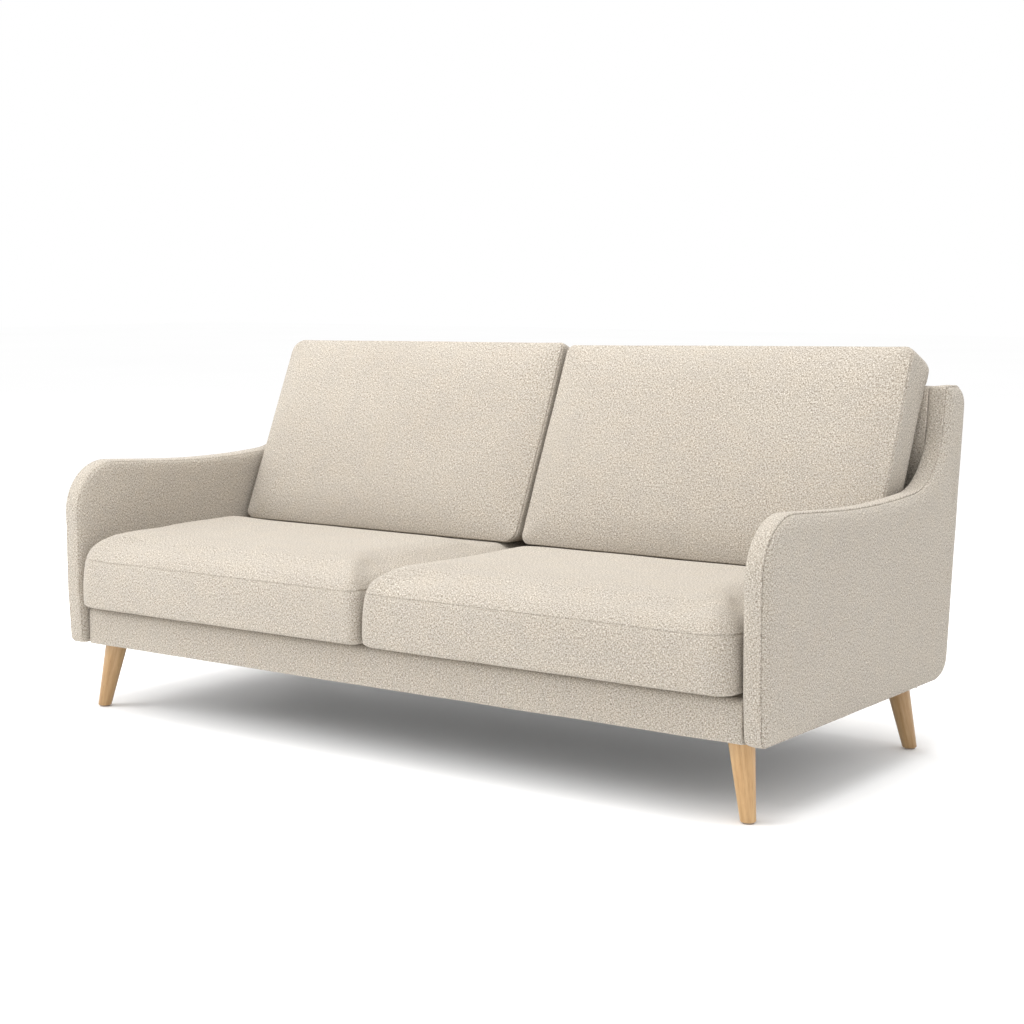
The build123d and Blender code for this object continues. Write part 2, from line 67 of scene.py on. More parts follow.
def rear(z):
    """Y of the sofa's rear face at height z."""
    return REAR_FOOT + BACK_SLOPE * (z - UNDER)


def back_front(z):
    """Y of the back's front face at height z."""
    return rear(z) - BACK_DEPTH


# ---------------------------------------------------------------- outlines
SHARPEST = 0.0004                    # least corner radius of a ring
CUSHION_CORNER = 0.018               # a cushion's inner rings keep corners this round
MOST_TURN = 0.35                     # the furthest that one piece of an arc turns, in radians
EDGE_SHARE = 0.62                    # how near a cap's inner points come to its edge, in steps


def corner_directions(corners, i):
    """Corner i, and the unit directions into it and out of it."""
    before, here, after = (np.array(corners[(i + k) % len(corners)][:2]) for k in (-1, 0, 1))
    into, out = here - before, after - here
    return here, into / np.linalg.norm(into), out / np.linalg.norm(out)


def inset_corners(corners, depth, least=SHARPEST):
    """Corners (a, b, radius) of a counter-clockwise outline moved inwards; hollow radii grow."""
    moved = []
    for i in range(len(corners)):
        here, u, v = corner_directions(corners, i)
        nu, nv = np.array([-u[1], u[0]]), np.array([-v[1], v[0]])
        point = here + depth * (nu + nv) / (1 + nu @ nv)
        convex = u[0] * v[1] - u[1] * v[0] > 0
        radius = corners[i][2] + (-depth if convex else depth)
        moved.append((point[0], point[1], max(radius, min(corners[i][2], least))))
    return moved


def corner_arcs(corners):
    """For each corner: arc centre, start angle, turn, radius, start and end points."""
    arcs = []
    for i, (_, _, radius) in enumerate(corners):
        here, u, v = corner_directions(corners, i)
        cross = u[0] * v[1] - u[1] * v[0]
        turn = math.atan2(cross, u @ v)
        reach = radius * abs(math.tan(turn / 2))
        start, end = here - u * reach, here + v * reach
        side = 1 if turn > 0 else -1
        centre = start + side * radius * np.array([-u[1], u[0]])
        angle = math.atan2(start[1] - centre[1], start[0] - centre[0])
        arcs.append((centre, angle, turn, radius, start, end))
    return arcs


def loop_counts(corners, step):
    """How many pieces each arc, and each straight after it, is cut into."""
    arcs = corner_arcs(corners)
    counts = []
    for i, (_, _, turn, radius, _, end) in enumerate(arcs):
        bend = max(2, math.ceil(abs(turn) * radius / step), math.ceil(abs(turn) / MOST_TURN))
        gap = np.linalg.norm(arcs[(i + 1) % len(arcs)][4] - end)
        counts.append((bend, max(1, math.ceil(gap / step))))
    return counts


def rounded_loop(corners, counts):
    """Points round an outline, cut as loop_counts says."""
    points = []
    arcs = corner_arcs(corners)
    for i, (centre, angle, turn, radius, _, end) in enumerate(arcs):
        bend, straight = counts[i]
        for k in range(bend):
            a = angle + turn * k / bend
            points.append(centre + radius * np.array([math.cos(a), math.sin(a)]))
        target = arcs[(i + 1) % len(arcs)][4]
        for k in range(straight):
            points.append(end + (target - end) * k / straight)
    return np.array(points)


def inside(points, loop):
    """Which points lie in a closed loop."""
    result = np.zeros(len(points), bool)
    nxt = np.roll(loop, -1, axis=0)
    for (x1, y1), (x2, y2) in zip(loop, nxt):
        if y1 == y2:
            continue
        crosses = (points[:, 1] > y1) != (points[:, 1] > y2)
        at = (x2 - x1) * (points[:, 1] - y1) / (y2 - y1) + x1
        result ^= crosses & (points[:, 0] < at)
    return result


def fill_cap(loop, step):
    """Inner points of a closed loop and the triangles that fill it; loop points come first."""
    low, high = loop.min(0), loop.max(0)
    rows = []
    row_gap = step * math.sqrt(3) / 2
    for k, b in enumerate(np.arange(low[1] + row_gap / 2, high[1], row_gap)):
        shift = step / 2 if k % 2 else 0
        a = np.arange(low[0] + shift, high[0], step)
        rows.append(np.stack([a, np.full(len(a), b)], axis=1))
    grid = np.concatenate(rows)
    grid = grid[inside(grid, loop)]
    nearest = np.min(np.linalg.norm(grid[:, None] - loop[None], axis=2), axis=1)
    grid = grid[nearest > EDGE_SHARE * step]
    count = len(loop)
    points = np.concatenate([loop, grid])
    result = geometry.delaunay_2d_cdt(
        [Vector(p) for p in points], [], [list(range(count))], 1, 1e-9, True
    )
    source = [ids[0] for ids in result[3]]
    triangles = np.array([[source[v] for v in face] for face in result[2]])
    within = inside(points[triangles].mean(axis=1), loop)
    return grid, triangles[within].tolist()


# ---------------------------------------------------------------- skins
def hermite(values, at, wanted):
    """Smooth interpolation of values[j] known at stations at[j], for each wanted station."""
    slopes = np.gradient(values, at, axis=0)
    j = np.clip(np.searchsorted(at, wanted) - 1, 0, len(at) - 2)
    gap = (at[j + 1] - at[j])[:, None, None]
    t = ((wanted - at[j]) / (at[j + 1] - at[j]))[:, None, None]
    h00, h10 = 2 * t**3 - 3 * t**2 + 1, t**3 - 2 * t**2 + t
    h01, h11 = -2 * t**3 + 3 * t**2, t**3 - t**2
    return h00 * values[j] + h10 * gap * slopes[j] + h01 * values[j + 1] + h11 * gap * slopes[j + 1]


def ring_stations(rings):
    """How far each ring is from the first one, along the surface."""
    steps = np.linalg.norm(np.diff(rings, axis=0), axis=2).mean(axis=1)
    return np.concatenate([[0], np.cumsum(steps)])


SEAM_SIDE = np.array([0.7, 1.4, 2.1, 3, 4, 5.4, 7.5, 11]) / 1000
SEAM_OFFSETS = np.concatenate([-SEAM_SIDE[::-1], [0], SEAM_SIDE])    # the fine rings at a seam
GROOVE_WIDTH = 0.0013
DIP_WIDTH, DIP_SHARE = 0.0045, 0.3   # the wider dip round the groove, and its share of the depth
LIP_WIDTH, LIP_OFFSET = 0.0022, 0.0034


def seam_height(offset, depth, ridge, ridge_side):
    """A stitched seam's section: a narrow groove, with the turned-in cloth raising one side."""
    groove = -depth * np.exp(-((offset / GROOVE_WIDTH) ** 2))
    dip = -DIP_SHARE * depth * np.exp(-((offset / DIP_WIDTH) ** 2))
    lip = ridge * np.exp(-(((offset - ridge_side * LIP_OFFSET) / LIP_WIDTH) ** 2))
    return groove + dip + lip


def outward_normals(rings):
    """Unit normals of the ring surface, turned away from its middle."""
    along = np.roll(rings, -1, axis=1) - np.roll(rings, 1, axis=1)
    normals = np.cross(np.gradient(rings, axis=0), along)
    normals /= np.maximum(np.linalg.norm(normals, axis=2, keepdims=True), 1e-12)
    away = rings - rings.reshape(-1, 3).mean(axis=0)
    return normals if (normals * away).sum() > 0 else -normals


def sew(rings, seams):
    """Adds fine rings at each seam, and shapes the seam there.

    seams holds (station, depth, ridge, ridge_side).
    """
    stations = ring_stations(rings)
    reach = SEAM_OFFSETS[-1] + 0.0015
    kept = [s for s in stations if all(abs(s - seam[0]) > reach for seam in seams)]
    fine = [seam[0] + SEAM_OFFSETS for seam in seams]
    wanted = np.unique(np.concatenate([kept, *fine]))
    wanted = wanted[(wanted >= stations[0]) & (wanted <= stations[-1])]
    made = hermite(rings, stations, wanted)
    lift = np.zeros(len(wanted))
    for station, depth, ridge, ridge_side in seams:
        lift += seam_height(wanted - station, depth, ridge, ridge_side)
    return made + outward_normals(made) * lift[:, None, None], wanted


def skin_faces(count, around, caps):
    """Faces of a stack of count rings of around points, closed by two caps of triangles."""
    faces = []
    for j in range(count - 1):
        for i in range(around):
            k = (i + 1) % around
            faces.append([j * around + i, j * around + k, (j + 1) * around + k, (j + 1) * around + i])
    start = count * around
    for ring, cap in ((0, caps[0]), (count - 1, caps[1])):
        for face in cap[2]:
            order = face[::-1] if ring == 0 else face
            faces.append([ring * around + v if v < around else start + v - around for v in order])
        start += len(cap[0])
    return faces


CLOTH = {
    "quality": 5, "mass": 0.3, "tension_stiffness": 15, "compression_stiffness": 15,
    "bending_stiffness": 0.5, "use_pressure": True, "uniform_pressure_force": 4,
    "vertex_group_mass": "held",
}
CLOTH_FRAMES = 20
EASING_ROUNDS = 6


def inflate(points, faces, pins, limit):
    """Cloth simulation: the cover swells under the filling's pressure.

    pins: how firmly each point is held, 0 to 1. limit: the furthest that each point may move.
    """
    mesh = bpy.data.meshes.new("swelling")
    mesh.from_pydata([tuple(p) for p in points], [], faces)
    piece = bpy.data.objects.new("swelling", mesh)
    bpy.context.scene.collection.objects.link(piece)
    group = piece.vertex_groups.new(name="held")
    for weight in np.unique(pins[pins > 0]):
        group.add([int(i) for i in np.nonzero(pins == weight)[0]], float(weight), "REPLACE")
    cloth = piece.modifiers.new("cloth", "CLOTH")
    for key, value in CLOTH.items():
        setattr(cloth.settings, key, value)
    cloth.settings.effector_weights.gravity = 0
    cloth.collision_settings.use_collision = False
    cloth.point_cache.frame_start, cloth.point_cache.frame_end = 1, CLOTH_FRAMES
    for moment in range(1, CLOTH_FRAMES + 1):
        bpy.context.scene.frame_set(moment)
    result = piece.evaluated_get(bpy.context.evaluated_depsgraph_get())
    swollen = np.empty(len(points) * 3, np.float32)
    result.data.vertices.foreach_get("co", swollen)
    bpy.data.objects.remove(piece)
    bpy.data.meshes.remove(mesh)
    bpy.context.scene.frame_set(1)
    move = swollen.reshape(-1, 3) - points
    far = np.maximum(np.linalg.norm(move, axis=1), 1e-9)
    move *= (limit * np.tanh(far / limit) / far)[:, None]
    return points + eased(move, faces) * (pins < 1)[:, None]


def eased(move, faces):
    """Averages each point's movement with its neighbours', which takes out the sharpest creases."""
    edges = {tuple(sorted((face[k - 1], face[k]))) for face in faces for k in range(len(face))}
    pairs = np.array(sorted(edges))
    count = np.bincount(pairs.ravel(), minlength=len(move))[:, None]
    for _ in range(EASING_ROUNDS):
        total = np.zeros_like(move)
        np.add.at(total, pairs[:, 0], move[pairs[:, 1]])
        np.add.at(total, pairs[:, 1], move[pairs[:, 0]])
        move = 0.5 * move + 0.5 * total / count
    return move


def build_skin(name, rings, stations, caps, flat_rings, seams):
    """A closed mesh from rings and two filled caps, with a UV map in metres, one island a panel.

    caps: (points3d, points2d, triangles) for the first ring, and for the last.
    flat_rings: the 2D outlines of the first ring, the widest ring and the last ring.
    """
    count, around = rings.shape[:2]
    verts = np.concatenate([rings.reshape(-1, 3), caps[0][0], caps[1][0]])
    faces = skin_faces(count, around, caps)
    base, wide, top = flat_rings
    lengths = np.linalg.norm(np.roll(wide, -1, axis=0) - wide, axis=1)
    u = np.concatenate([[0], np.cumsum(lengths)])
    out_first, out_last = (
        (wide - flat) / np.linalg.norm(wide - flat, axis=1, keepdims=True) for flat in (base, top)
    )

    def ring_uv(j, i, band):
        k = i % around
        if band == 0 and seams:
            return base[k] + out_first[k] * (stations[j] - stations[0])
        if band == 2 and seams:
            return top[k] + out_last[k] * (stations[-1] - stations[j])
        return np.array([u[i], stations[j]])

    uvs = []
    for j in range(count - 1):
        middle = (stations[j] + stations[j + 1]) / 2
        band = int(middle > seams[0]) + int(middle > seams[-1]) if seams else 1
        for i in range(around):
            quad = ((j, i), (j, i + 1), (j + 1, i + 1), (j + 1, i))
            uvs += [ring_uv(row, point, band) for row, point in quad]
    for ring, cap, flat in ((0, caps[0], base), (count - 1, caps[1], top)):
        points2d = np.concatenate([flat, cap[1]])
        for face in cap[2]:
            uvs += [points2d[v] for v in (face[::-1] if ring == 0 else face)]
    if closed_volume(verts, faces) < 0:
        turned, at = [], 0
        for face in faces:
            turned += uvs[at:at + len(face)][::-1]
            at += len(face)
        faces, uvs = [face[::-1] for face in faces], turned
    return mesh_object(name, verts, faces, uvs)


def closed_volume(verts, faces):
    """Six times the volume inside the faces; negative where they face inwards."""
    fans = [(face[0], face[k], face[k + 1]) for face in faces for k in range(1, len(face) - 1)]
    a, b, c = verts[np.array(fans)].transpose(1, 0, 2)
    return (a * np.cross(b, c)).sum()


def mesh_object(name, verts, faces, uvs=None):
    """A smooth mesh object, with one UV point for each corner of each face if uvs holds them."""
    mesh = bpy.data.meshes.new(name)
    mesh.from_pydata([tuple(v) for v in verts], [], faces)
    if uvs is not None:
        layer = mesh.uv_layers.new(name=UV)
        layer.data.foreach_set("uv", np.array(uvs, np.float32).ravel())
    mesh.update()
    mesh.validate()
    mesh.shade_smooth()
    made = bpy.data.objects.new(name, mesh)
    bpy.context.scene.collection.objects.link(made)
    return made


def wobble(points, size, seed):
    """Smooth noise, about -1 to 1, at each point; size is the length of a wave in metres."""
    shift = Vector((seed * 17.3, seed * 5.1, seed * 9.7))
    flat = points.reshape(-1, 3)
    values = [noise.noise(Vector(p) / size + shift) for p in flat]
    return np.array(values).reshape(points.shape[:-1])


# ---------------------------------------------------------------- materials
def new_material(name):
    """A material with only a Principled shader: the material, its node tree and the shader."""
    material = bpy.data.materials.new(name)
    material.use_nodes = True
    tree = material.node_tree
    tree.nodes.clear()
    out = tree.nodes.new("ShaderNodeOutputMaterial")
    shader = tree.nodes.new("ShaderNodeBsdfPrincipled")
    tree.links.new(shader.outputs[0], out.inputs[0])
    return material, tree, shader


def node(tree, kind, settings=None, **inputs):
    """A node with its settings and inputs; an input may be a value or another node's socket."""
    made = tree.nodes.new(kind)
    for key, value in (settings or {}).items():
        setattr(made, key, value)
    for key, value in inputs.items():
        socket = made.inputs[int(key[1:])] if key[0] == "i" and key[1:].isdigit() else made.inputs[key]
        if isinstance(value, bpy.types.NodeSocket):
            tree.links.new(value, socket)
        else:
            socket.default_value = value
    return made


def math_node(tree, operation, a, b=0.0):
    return node(tree, "ShaderNodeMath", {"operation": operation}, i0=a, i1=b).outputs[0]


def weighted_sum(tree, *terms):
    """The sum of (socket, weight) terms."""
    total = None
    for socket, weight in terms:
        part = math_node(tree, "MULTIPLY", socket, weight)
        total = part if total is None else math_node(tree, "ADD", total, part)
    return total


def mix_colour(tree, factor, a, b, blend="MIX"):
    made = node(tree, "ShaderNodeMix", {"data_type": "RGBA", "blend_type": blend})
    for index, value in ((0, factor), (6, a), (7, b)):
        if isinstance(value, bpy.types.NodeSocket):
            tree.links.new(value, made.inputs[index])
        else:
            made.inputs[index].default_value = value
    return made.outputs[2]


def ramp(tree, factor, stops):
    """A colour ramp; a stop's colour is three or four numbers, or one number for a grey."""
    made = node(tree, "ShaderNodeValToRGB", None, Fac=factor)
    elements = made.color_ramp.elements
    while len(elements) < len(stops):
        elements.new(0.5)
    for element, (position, colour) in zip(elements, stops):
        element.position = position
        element.color = (colour,) * 3 + (1,) if isinstance(colour, (int, float)) else (*colour[:3], 1)
    return made.outputs["Color"]


def tinted(tree, colour, strength, factor, stops):
    """The colour multiplied by a ramp."""
    return mix_colour(tree, strength, colour, ramp(tree, factor, stops), "MULTIPLY")


def set_bump(tree, shader, height, strength, distance):
    bump = node(tree, "ShaderNodeBump", None, Strength=strength, Distance=distance, Height=height)
    tree.links.new(bump.outputs[0], shader.inputs["Normal"])


def set_roughness(tree, shader, value, at_zero, at_one):
    """Roughness that follows a socket's value between two limits."""
    span = node(tree, "ShaderNodeMapRange", None, Value=value)
    span.inputs["To Min"].default_value = at_zero
    span.inputs["To Max"].default_value = at_one
    tree.links.new(span.outputs[0], shader.inputs["Roughness"])


def finish_shader(shader, **values):
    """Constants on the shader's own sockets; an underscore in a name stands for a space."""
    for key, value in values.items():
        shader.inputs[key.replace("_", " ")].default_value = value


def object_place(tree):
    return node(tree, "ShaderNodeTexCoord").outputs["Object"]


def stretched_noise(tree, vector, scale, detail=2.0, rough=0.5):
    """Noise whose waves are 1 / scale metres long on each axis."""
    mapped = node(tree, "ShaderNodeMapping", None, Vector=vector, Scale=scale)
    made = node(
        tree, "ShaderNodeTexNoise", None,
        Vector=mapped.outputs[0], Scale=1.0, Detail=detail, Roughness=rough,
    )
    return made.outputs["Fac"]


def linear(r, g, b):
    """An sRGB colour, 0 to 255, as linear light."""
    return tuple(((c / 255 + 0.055) / 1.055) ** 2.4 for c in (r, g, b)) + (1,)


THREAD_PITCH = 0.0021


def upholstery_fabric():
    """Cream and beige yarns in a plain weave with soft slubs both ways."""
    material, tree, shader = new_material("upholstery_fabric")
    uv = node(tree, "ShaderNodeUVMap", {"uv_map": UV}).outputs[0]
    warp = stretched_noise(tree, uv, (210, 560, 1))
    weft = stretched_noise(tree, uv, (560, 210, 1))
    slub = weighted_sum(tree, (warp, 0.5), (weft, 0.5))
    nub = stretched_noise(tree, uv, (620, 900, 1), detail=1.5, rough=0.6)
    patch = stretched_noise(tree, uv, (17, 23, 1))
    streak = stretched_noise(tree, uv, (24, 260, 1), detail=1.5)
    wide = stretched_noise(tree, uv, (3.1, 4.3, 1), detail=1.0)
    colour = ramp(tree, slub, [
        (0.36, linear(128, 118, 105)),
        (0.46, linear(166, 157, 144)),
        (0.54, linear(194, 186, 174)),
        (0.64, linear(223, 217, 207)),
    ])
    for strength, factor, stops in (
        (0.8, nub, [(0.3, (0.52, 0.51, 0.50)), (0.5, 1), (0.7, 1.38)]),
        (1.0, patch, [(0.35, (0.975, 0.972, 0.975)), (0.5, (1, 0.995, 0.99)), (0.65, (1.012, 1.0, 0.985))]),
        (1.0, streak, [(0.35, 0.975), (0.65, 1.02)]),
        (1.0, wide, [(0.35, (0.985, 0.98, 0.978)), (0.65, 1.01)]),
    ):
        colour = tinted(tree, colour, strength, factor, stops)
    tree.links.new(colour, shader.inputs["Base Color"])
    # the weave itself: threads over and under
    split = node(tree, "ShaderNodeSeparateXYZ", None, Vector=uv)
    pitch = 2 * math.pi / THREAD_PITCH
    across, down = (
        math_node(tree, "SINE", math_node(tree, "MULTIPLY", split.outputs[axis], pitch)) for axis in (0, 1)
    )
    weave = math_node(tree, "MULTIPLY", across, down)
    set_bump(tree, shader, weighted_sum(tree, (slub, 2.6), (weave, 0.16), (nub, 2.2)), 0.82, 0.0011)
    set_roughness(tree, shader, slub, 0.97, 0.86)
    finish_shader(shader, Sheen_Weight=0.25, Sheen_Roughness=0.45, Sheen_Tint=(1.0, 0.97, 0.92, 1),
                  Specular_IOR_Level=0.18)
    return material


def plain_cloth(name, dark, light, thread, object_space=False, bump_distance=0.0005):
    """A finer plain cloth: threads of one pitch, uneven in tone."""
    material, tree, shader = new_material(name)
    place = object_place(tree) if object_space else node(tree, "ShaderNodeUVMap", {"uv_map": UV}).outputs[0]
    warp = stretched_noise(tree, place, (0.25 / thread, 1 / thread, 1 / thread))
    weft = stretched_noise(tree, place, (1 / thread, 0.25 / thread, 1 / thread))
    mixed = weighted_sum(tree, (warp, 0.5), (weft, 0.5))
    patch = stretched_noise(tree, place, (9, 9, 9))
    colour = ramp(tree, mixed, [(0.38, dark), (0.62, light)])
    colour = tinted(tree, colour, 1.0, patch, [(0.35, 0.93), (0.65, 1.05)])
    tree.links.new(colour, shader.inputs["Base Color"])
    set_bump(tree, shader, mixed, 0.7, bump_distance)
    finish_shader(shader, Roughness=0.93, Sheen_Weight=0.1, Specular_IOR_Level=0.2)
    return material


def wood(name, axis, dark, middle, light, gloss, scale=1.0):
    """Straight-grained wood with its grain along axis, in the row frame."""
    material, tree, shader = new_material(name)
    place = object_place(tree)
    turn = Vector(axis).rotation_difference(Vector((0, 0, 1))).to_euler()
    upright = node(tree, "ShaderNodeMapping", None, Vector=place, Rotation=tuple(turn)).outputs[0]
    drift = stretched_noise(tree, upright, (9 * scale, 9 * scale, 1.3))
    bent = node(
        tree, "ShaderNodeVectorMath", {"operation": "MULTIPLY_ADD"},
        i0=node(tree, "ShaderNodeCombineXYZ", None, X=drift, Y=drift).outputs[0],
        i1=(0.02, 0.02, 0.0), i2=upright,
    ).outputs[0]
    rings = stretched_noise(tree, bent, (95 * scale, 95 * scale, 2.2), detail=3, rough=0.6)
    fibres = stretched_noise(tree, upright, (900 * scale, 900 * scale, 14))
    flecks = stretched_noise(tree, upright, (420 * scale, 420 * scale, 45), detail=1)
    broad = stretched_noise(tree, upright, (20, 20, 3), detail=1)
    colour = ramp(tree, rings, [(0.32, dark), (0.48, middle), (0.66, light)])
    for strength, factor, stops in (
        (0.8, fibres, [(0.3, (0.90, 0.89, 0.87)), (0.6, 1.03)]),
        (0.6, flecks, [(0.28, (0.80, 0.76, 0.70)), (0.36, 1)]),
        (1.0, broad, [(0.35, (0.95, 0.94, 0.93)), (0.65, 1.03)]),
    ):
        colour = tinted(tree, colour, strength, factor, stops)
    tree.links.new(colour, shader.inputs["Base Color"])
    set_bump(tree, shader, weighted_sum(tree, (fibres, 1.0), (rings, 0.6)), 0.25, 0.0003)
    set_roughness(tree, shader, fibres, gloss + 0.07, gloss - 0.05)
    finish_shader(shader, Coat_Weight=0.12 if gloss < 0.5 else 0.0, Coat_Roughness=0.35)
    return material


PLY = 0.0028                         # two plies, one dark and one pale


def plywood():
    """Birch plywood: pale faces, and thin plies seen along the cut edges."""
    material, tree, shader = new_material("plywood")
    place = object_place(tree)
    grain = stretched_noise(tree, place, (30, 260, 12), detail=3)
    face = ramp(tree, grain, [(0.35, linear(205, 178, 138)), (0.65, linear(226, 203, 166))])
    split = node(tree, "ShaderNodeSeparateXYZ", None, Vector=place)
    plies = math_node(tree, "SINE", math_node(tree, "MULTIPLY", split.outputs[0], 2 * math.pi / PLY))
    edge = ramp(tree, plies, [(0.2, linear(150, 112, 74)), (0.6, linear(214, 186, 146))])
    normal = node(tree, "ShaderNodeNewGeometry").outputs["Normal"]
    facing = math_node(tree, "ABSOLUTE", node(tree, "ShaderNodeSeparateXYZ", None, Vector=normal).outputs[0])
    is_face = math_node(tree, "GREATER_THAN", facing, 0.7)
    tree.links.new(mix_colour(tree, is_face, edge, face), shader.inputs["Base Color"])
    set_bump(tree, shader, grain, 0.3, 0.0004)
    finish_shader(shader, Roughness=0.62)
    return material


def metal(name, tone, rough):
    """Metal with fine drawn marks, and spots of more and less gloss."""
    material, tree, shader = new_material(name)
    place = object_place(tree)
    marks = stretched_noise(tree, place, (40, 40, 400), detail=3)
    spots = stretched_noise(tree, place, (60, 60, 60))
    low = tuple(c * 0.82 for c in tone)
    tree.links.new(ramp(tree, marks, [(0.3, low), (0.7, tone)]), shader.inputs["Base Color"])
    set_roughness(tree, shader, spots, rough - 0.1, rough + 0.12)
    set_bump(tree, shader, marks, 0.2, 0.0002)
    finish_shader(shader, Metallic=1.0)
    return material


def moulded_plastic(name, tone):
    """Plastic with a fine moulded grain and worn patches."""
    material, tree, shader = new_material(name)
    place = object_place(tree)
    grain = stretched_noise(tree, place, (900, 900, 900))
    worn = stretched_noise(tree, place, (70, 70, 70))
    low = tuple(c * 0.88 for c in tone)
    tree.links.new(ramp(tree, worn, [(0.35, low), (0.65, tone)]), shader.inputs["Base Color"])
    set_bump(tree, shader, grain, 0.3, 0.0002)
    finish_shader(shader, Roughness=0.5)
    return material


FABRIC = upholstery_fabric()
PLATFORM = plain_cloth("platform_cloth", linear(186, 175, 158), linear(214, 204, 188), 0.0016)
DUST = plain_cloth("dust_cloth", linear(82, 81, 79), linear(112, 111, 109), 0.0011, bump_distance=0.0003)
ZIP_TAPE = plain_cloth(
    "zip_tape", linear(180, 166, 148), linear(206, 194, 178), 0.0012, object_space=True, bump_distance=0.0003
)
ZINC = metal("zinc_steel", (0.66, 0.67, 0.68, 1), 0.35)
FELT = plain_cloth("felt", linear(150, 146, 140), linear(182, 178, 172), 0.0028, bump_distance=0.001)


# ---------------------------------------------------------------- putting pieces in
def smooth_step(value):
    t = np.clip(value, 0, 1)
    return t * t * (3 - 2 * t)


def surface_tree(piece):
    """A piece's faces, for casting rays at them."""
    mesh = piece.data
    return BVHTree.FromPolygons([v.co for v in mesh.vertices], [tuple(p.vertices) for p in mesh.polygons])


def dress(piece, body, material, slot, *nodes):
    """Gives a piece its material and its body, and hides the CAD nodes it replaces. The slot is not used."""
    piece.data.materials.clear()
    piece.data.materials.append(material)
    if nodes:
        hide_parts(*nodes)
    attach(piece, body)


UNEVEN_WAVE = 0.09                   # length of the waves of a cover's unevenness


def swept_skin(name, corners, step, profile, place, seams=(), cap_step=0.014, seed=1, shape=None,
               swell=None, uneven=0.0006, least=SHARPEST):
    """A closed skin swept round an outline.

    profile: (inset, height) rows, from one cap to the other. place(a, b, c) turns outline and
    height into X, Y and Z. seams: (profile row, with a fraction, depth, ridge, ridge side).
    swell: gives the pins and limits of the cloth simulation, from the points and row numbers.
    shape: moves all the points, before the seams are sewn. least: as in inset_corners.
    """
    counts = loop_counts(corners, step)
    flats = [rounded_loop(inset_corners(corners, inset, least), counts) for inset, _ in profile]
    rings = np.array([
        np.stack(place(flat[:, 0], flat[:, 1], np.full(len(flat), height)), axis=1)
        for flat, (_, height) in zip(flats, profile)
    ])
    caps = []
    for end in (0, -1):
        inner, triangles = fill_cap(flats[end], cap_step)
        level = np.full(len(inner), profile[end][1])
        points = np.stack(place(inner[:, 0], inner[:, 1], level), axis=1)
        caps.append([points, inner, triangles])
    sizes = np.cumsum([rings.shape[0] * rings.shape[1], len(caps[0][0])])
    every = np.concatenate([rings.reshape(-1, 3), caps[0][0], caps[1][0]])
    if swell:
        rows = np.repeat(np.arange(len(profile)), rings.shape[1])
        last = np.full(len(caps[1][0]), len(profile))
        rows = np.concatenate([rows, np.zeros(len(caps[0][0])), last])
        pins, limit = swell(every, rows)
        every = inflate(every, skin_faces(rings.shape[0], rings.shape[1], caps), pins, limit)
    if shape:
        every = shape(every)
    rings = every[:sizes[0]].reshape(rings.shape)
    caps[0][0], caps[1][0] = every[sizes[0]:sizes[1]], every[sizes[1]:]
    stations = ring_stations(rings)
    placed = []
    for row, depth, ridge, ridge_side in seams:
        low = int(row)
        at = stations[low] + (row - low) * (stations[min(low + 1, len(stations) - 1)] - stations[low])
        placed.append((at, depth, ridge, ridge_side))
    if placed:
        rings, stations = sew(rings, placed)
    if uneven:
        rings = rings + outward_normals(rings) * (uneven * wobble(rings, UNEVEN_WAVE, seed))[..., None]
    widest = int(np.argmin([inset for inset, _ in profile]))
    wide_rings = (flats[0], flats[widest], flats[-1])
    return build_skin(name, rings, stations, caps, wide_rings, [p[0] for p in placed])


# ---------------------------------------------------------------- side panels
def side_corners():
    """Arm and wing seen from the side, counter-clockwise in (Y, Z), with the CAD's roundings."""
    y = FRONT
    return [
        (y + 0.008, UNDER, 0.020),
        (REAR_FOOT, UNDER, REAR_CORNER),
        (rear(TOP), TOP, 0.045),
        (back_front(TOP), TOP, 0.010),
        (back_front(WING_FOOT), WING_FOOT, 0.160),
        (y + 0.498, 0.6007, 3.0),
        (y, 0.633, 0.125),
        (y, 0.300, 0.600),
    ]


SIDE_PROFILE = [  # inset from the outline, distance from the inner face
    (0.050, 0.0003), (0.040, 0.0003), (0.030, 0.0004), (0.022, 0.0008), (0.015, 0.0016),
    (0.010, 0.0027), (0.0065, 0.0042), (0.0040, 0.0064), (0.0020, 0.0100), (0.0008, 0.016),
    (0.0, 0.023), (0.0, 0.030), (0.0003, 0.0365), (0.0010, 0.0420), (0.0018, 0.0465),
    (0.0037, 0.0480), (0.0066, 0.0500), (0.0105, 0.0524), (0.0153, 0.0547), (0.0211, 0.0568),
    (0.0283, 0.0584), (0.0365, 0.0593), (0.0442, 0.0596), (0.050, 0.0596),
]


SIDE_SEAMS = [(6.4, 0.0010, 0.0005, 1), (14.0, 0.0031, 0.0019, -1)]


def side_panel(side):
    name = "left" if side < 0 else "right"

    def place(a, b, c):
        return side * (INNER + c), a, b

    piece = swept_skin(
        f"side_panel_{name}", side_corners(), 0.009, SIDE_PROFILE, place,
        seams=SIDE_SEAMS, seed=3 + side, cap_step=0.016,
    )
    dress(piece, "frame", FABRIC, "upholstery_fabric", f"side_cover_{name}", f"side_foam_{name}")


# ---------------------------------------------------------------- front rail, back, deck
END_ROWS, LENGTH_ROWS = 5, 40


def length_profile(half, end_round):
    """(inset, x) rows along a piece that runs from -half to half, its ends rounded over."""
    ends = []
    for k in range(END_ROWS):
        a = math.pi / 2 * k / (END_ROWS - 1)
        ends.append((end_round * (1 - math.sin(a)), -half + end_round * (1 - math.cos(a))))
    inner = half - end_round
    between = [(0.0, -inner + 2 * inner * k / LENGTH_ROWS) for k in range(1, LENGTH_ROWS)]
    return ends + between + [(inset, -x) for inset, x in reversed(ends)]


def along_x(a, b, c):
    return c, a, b


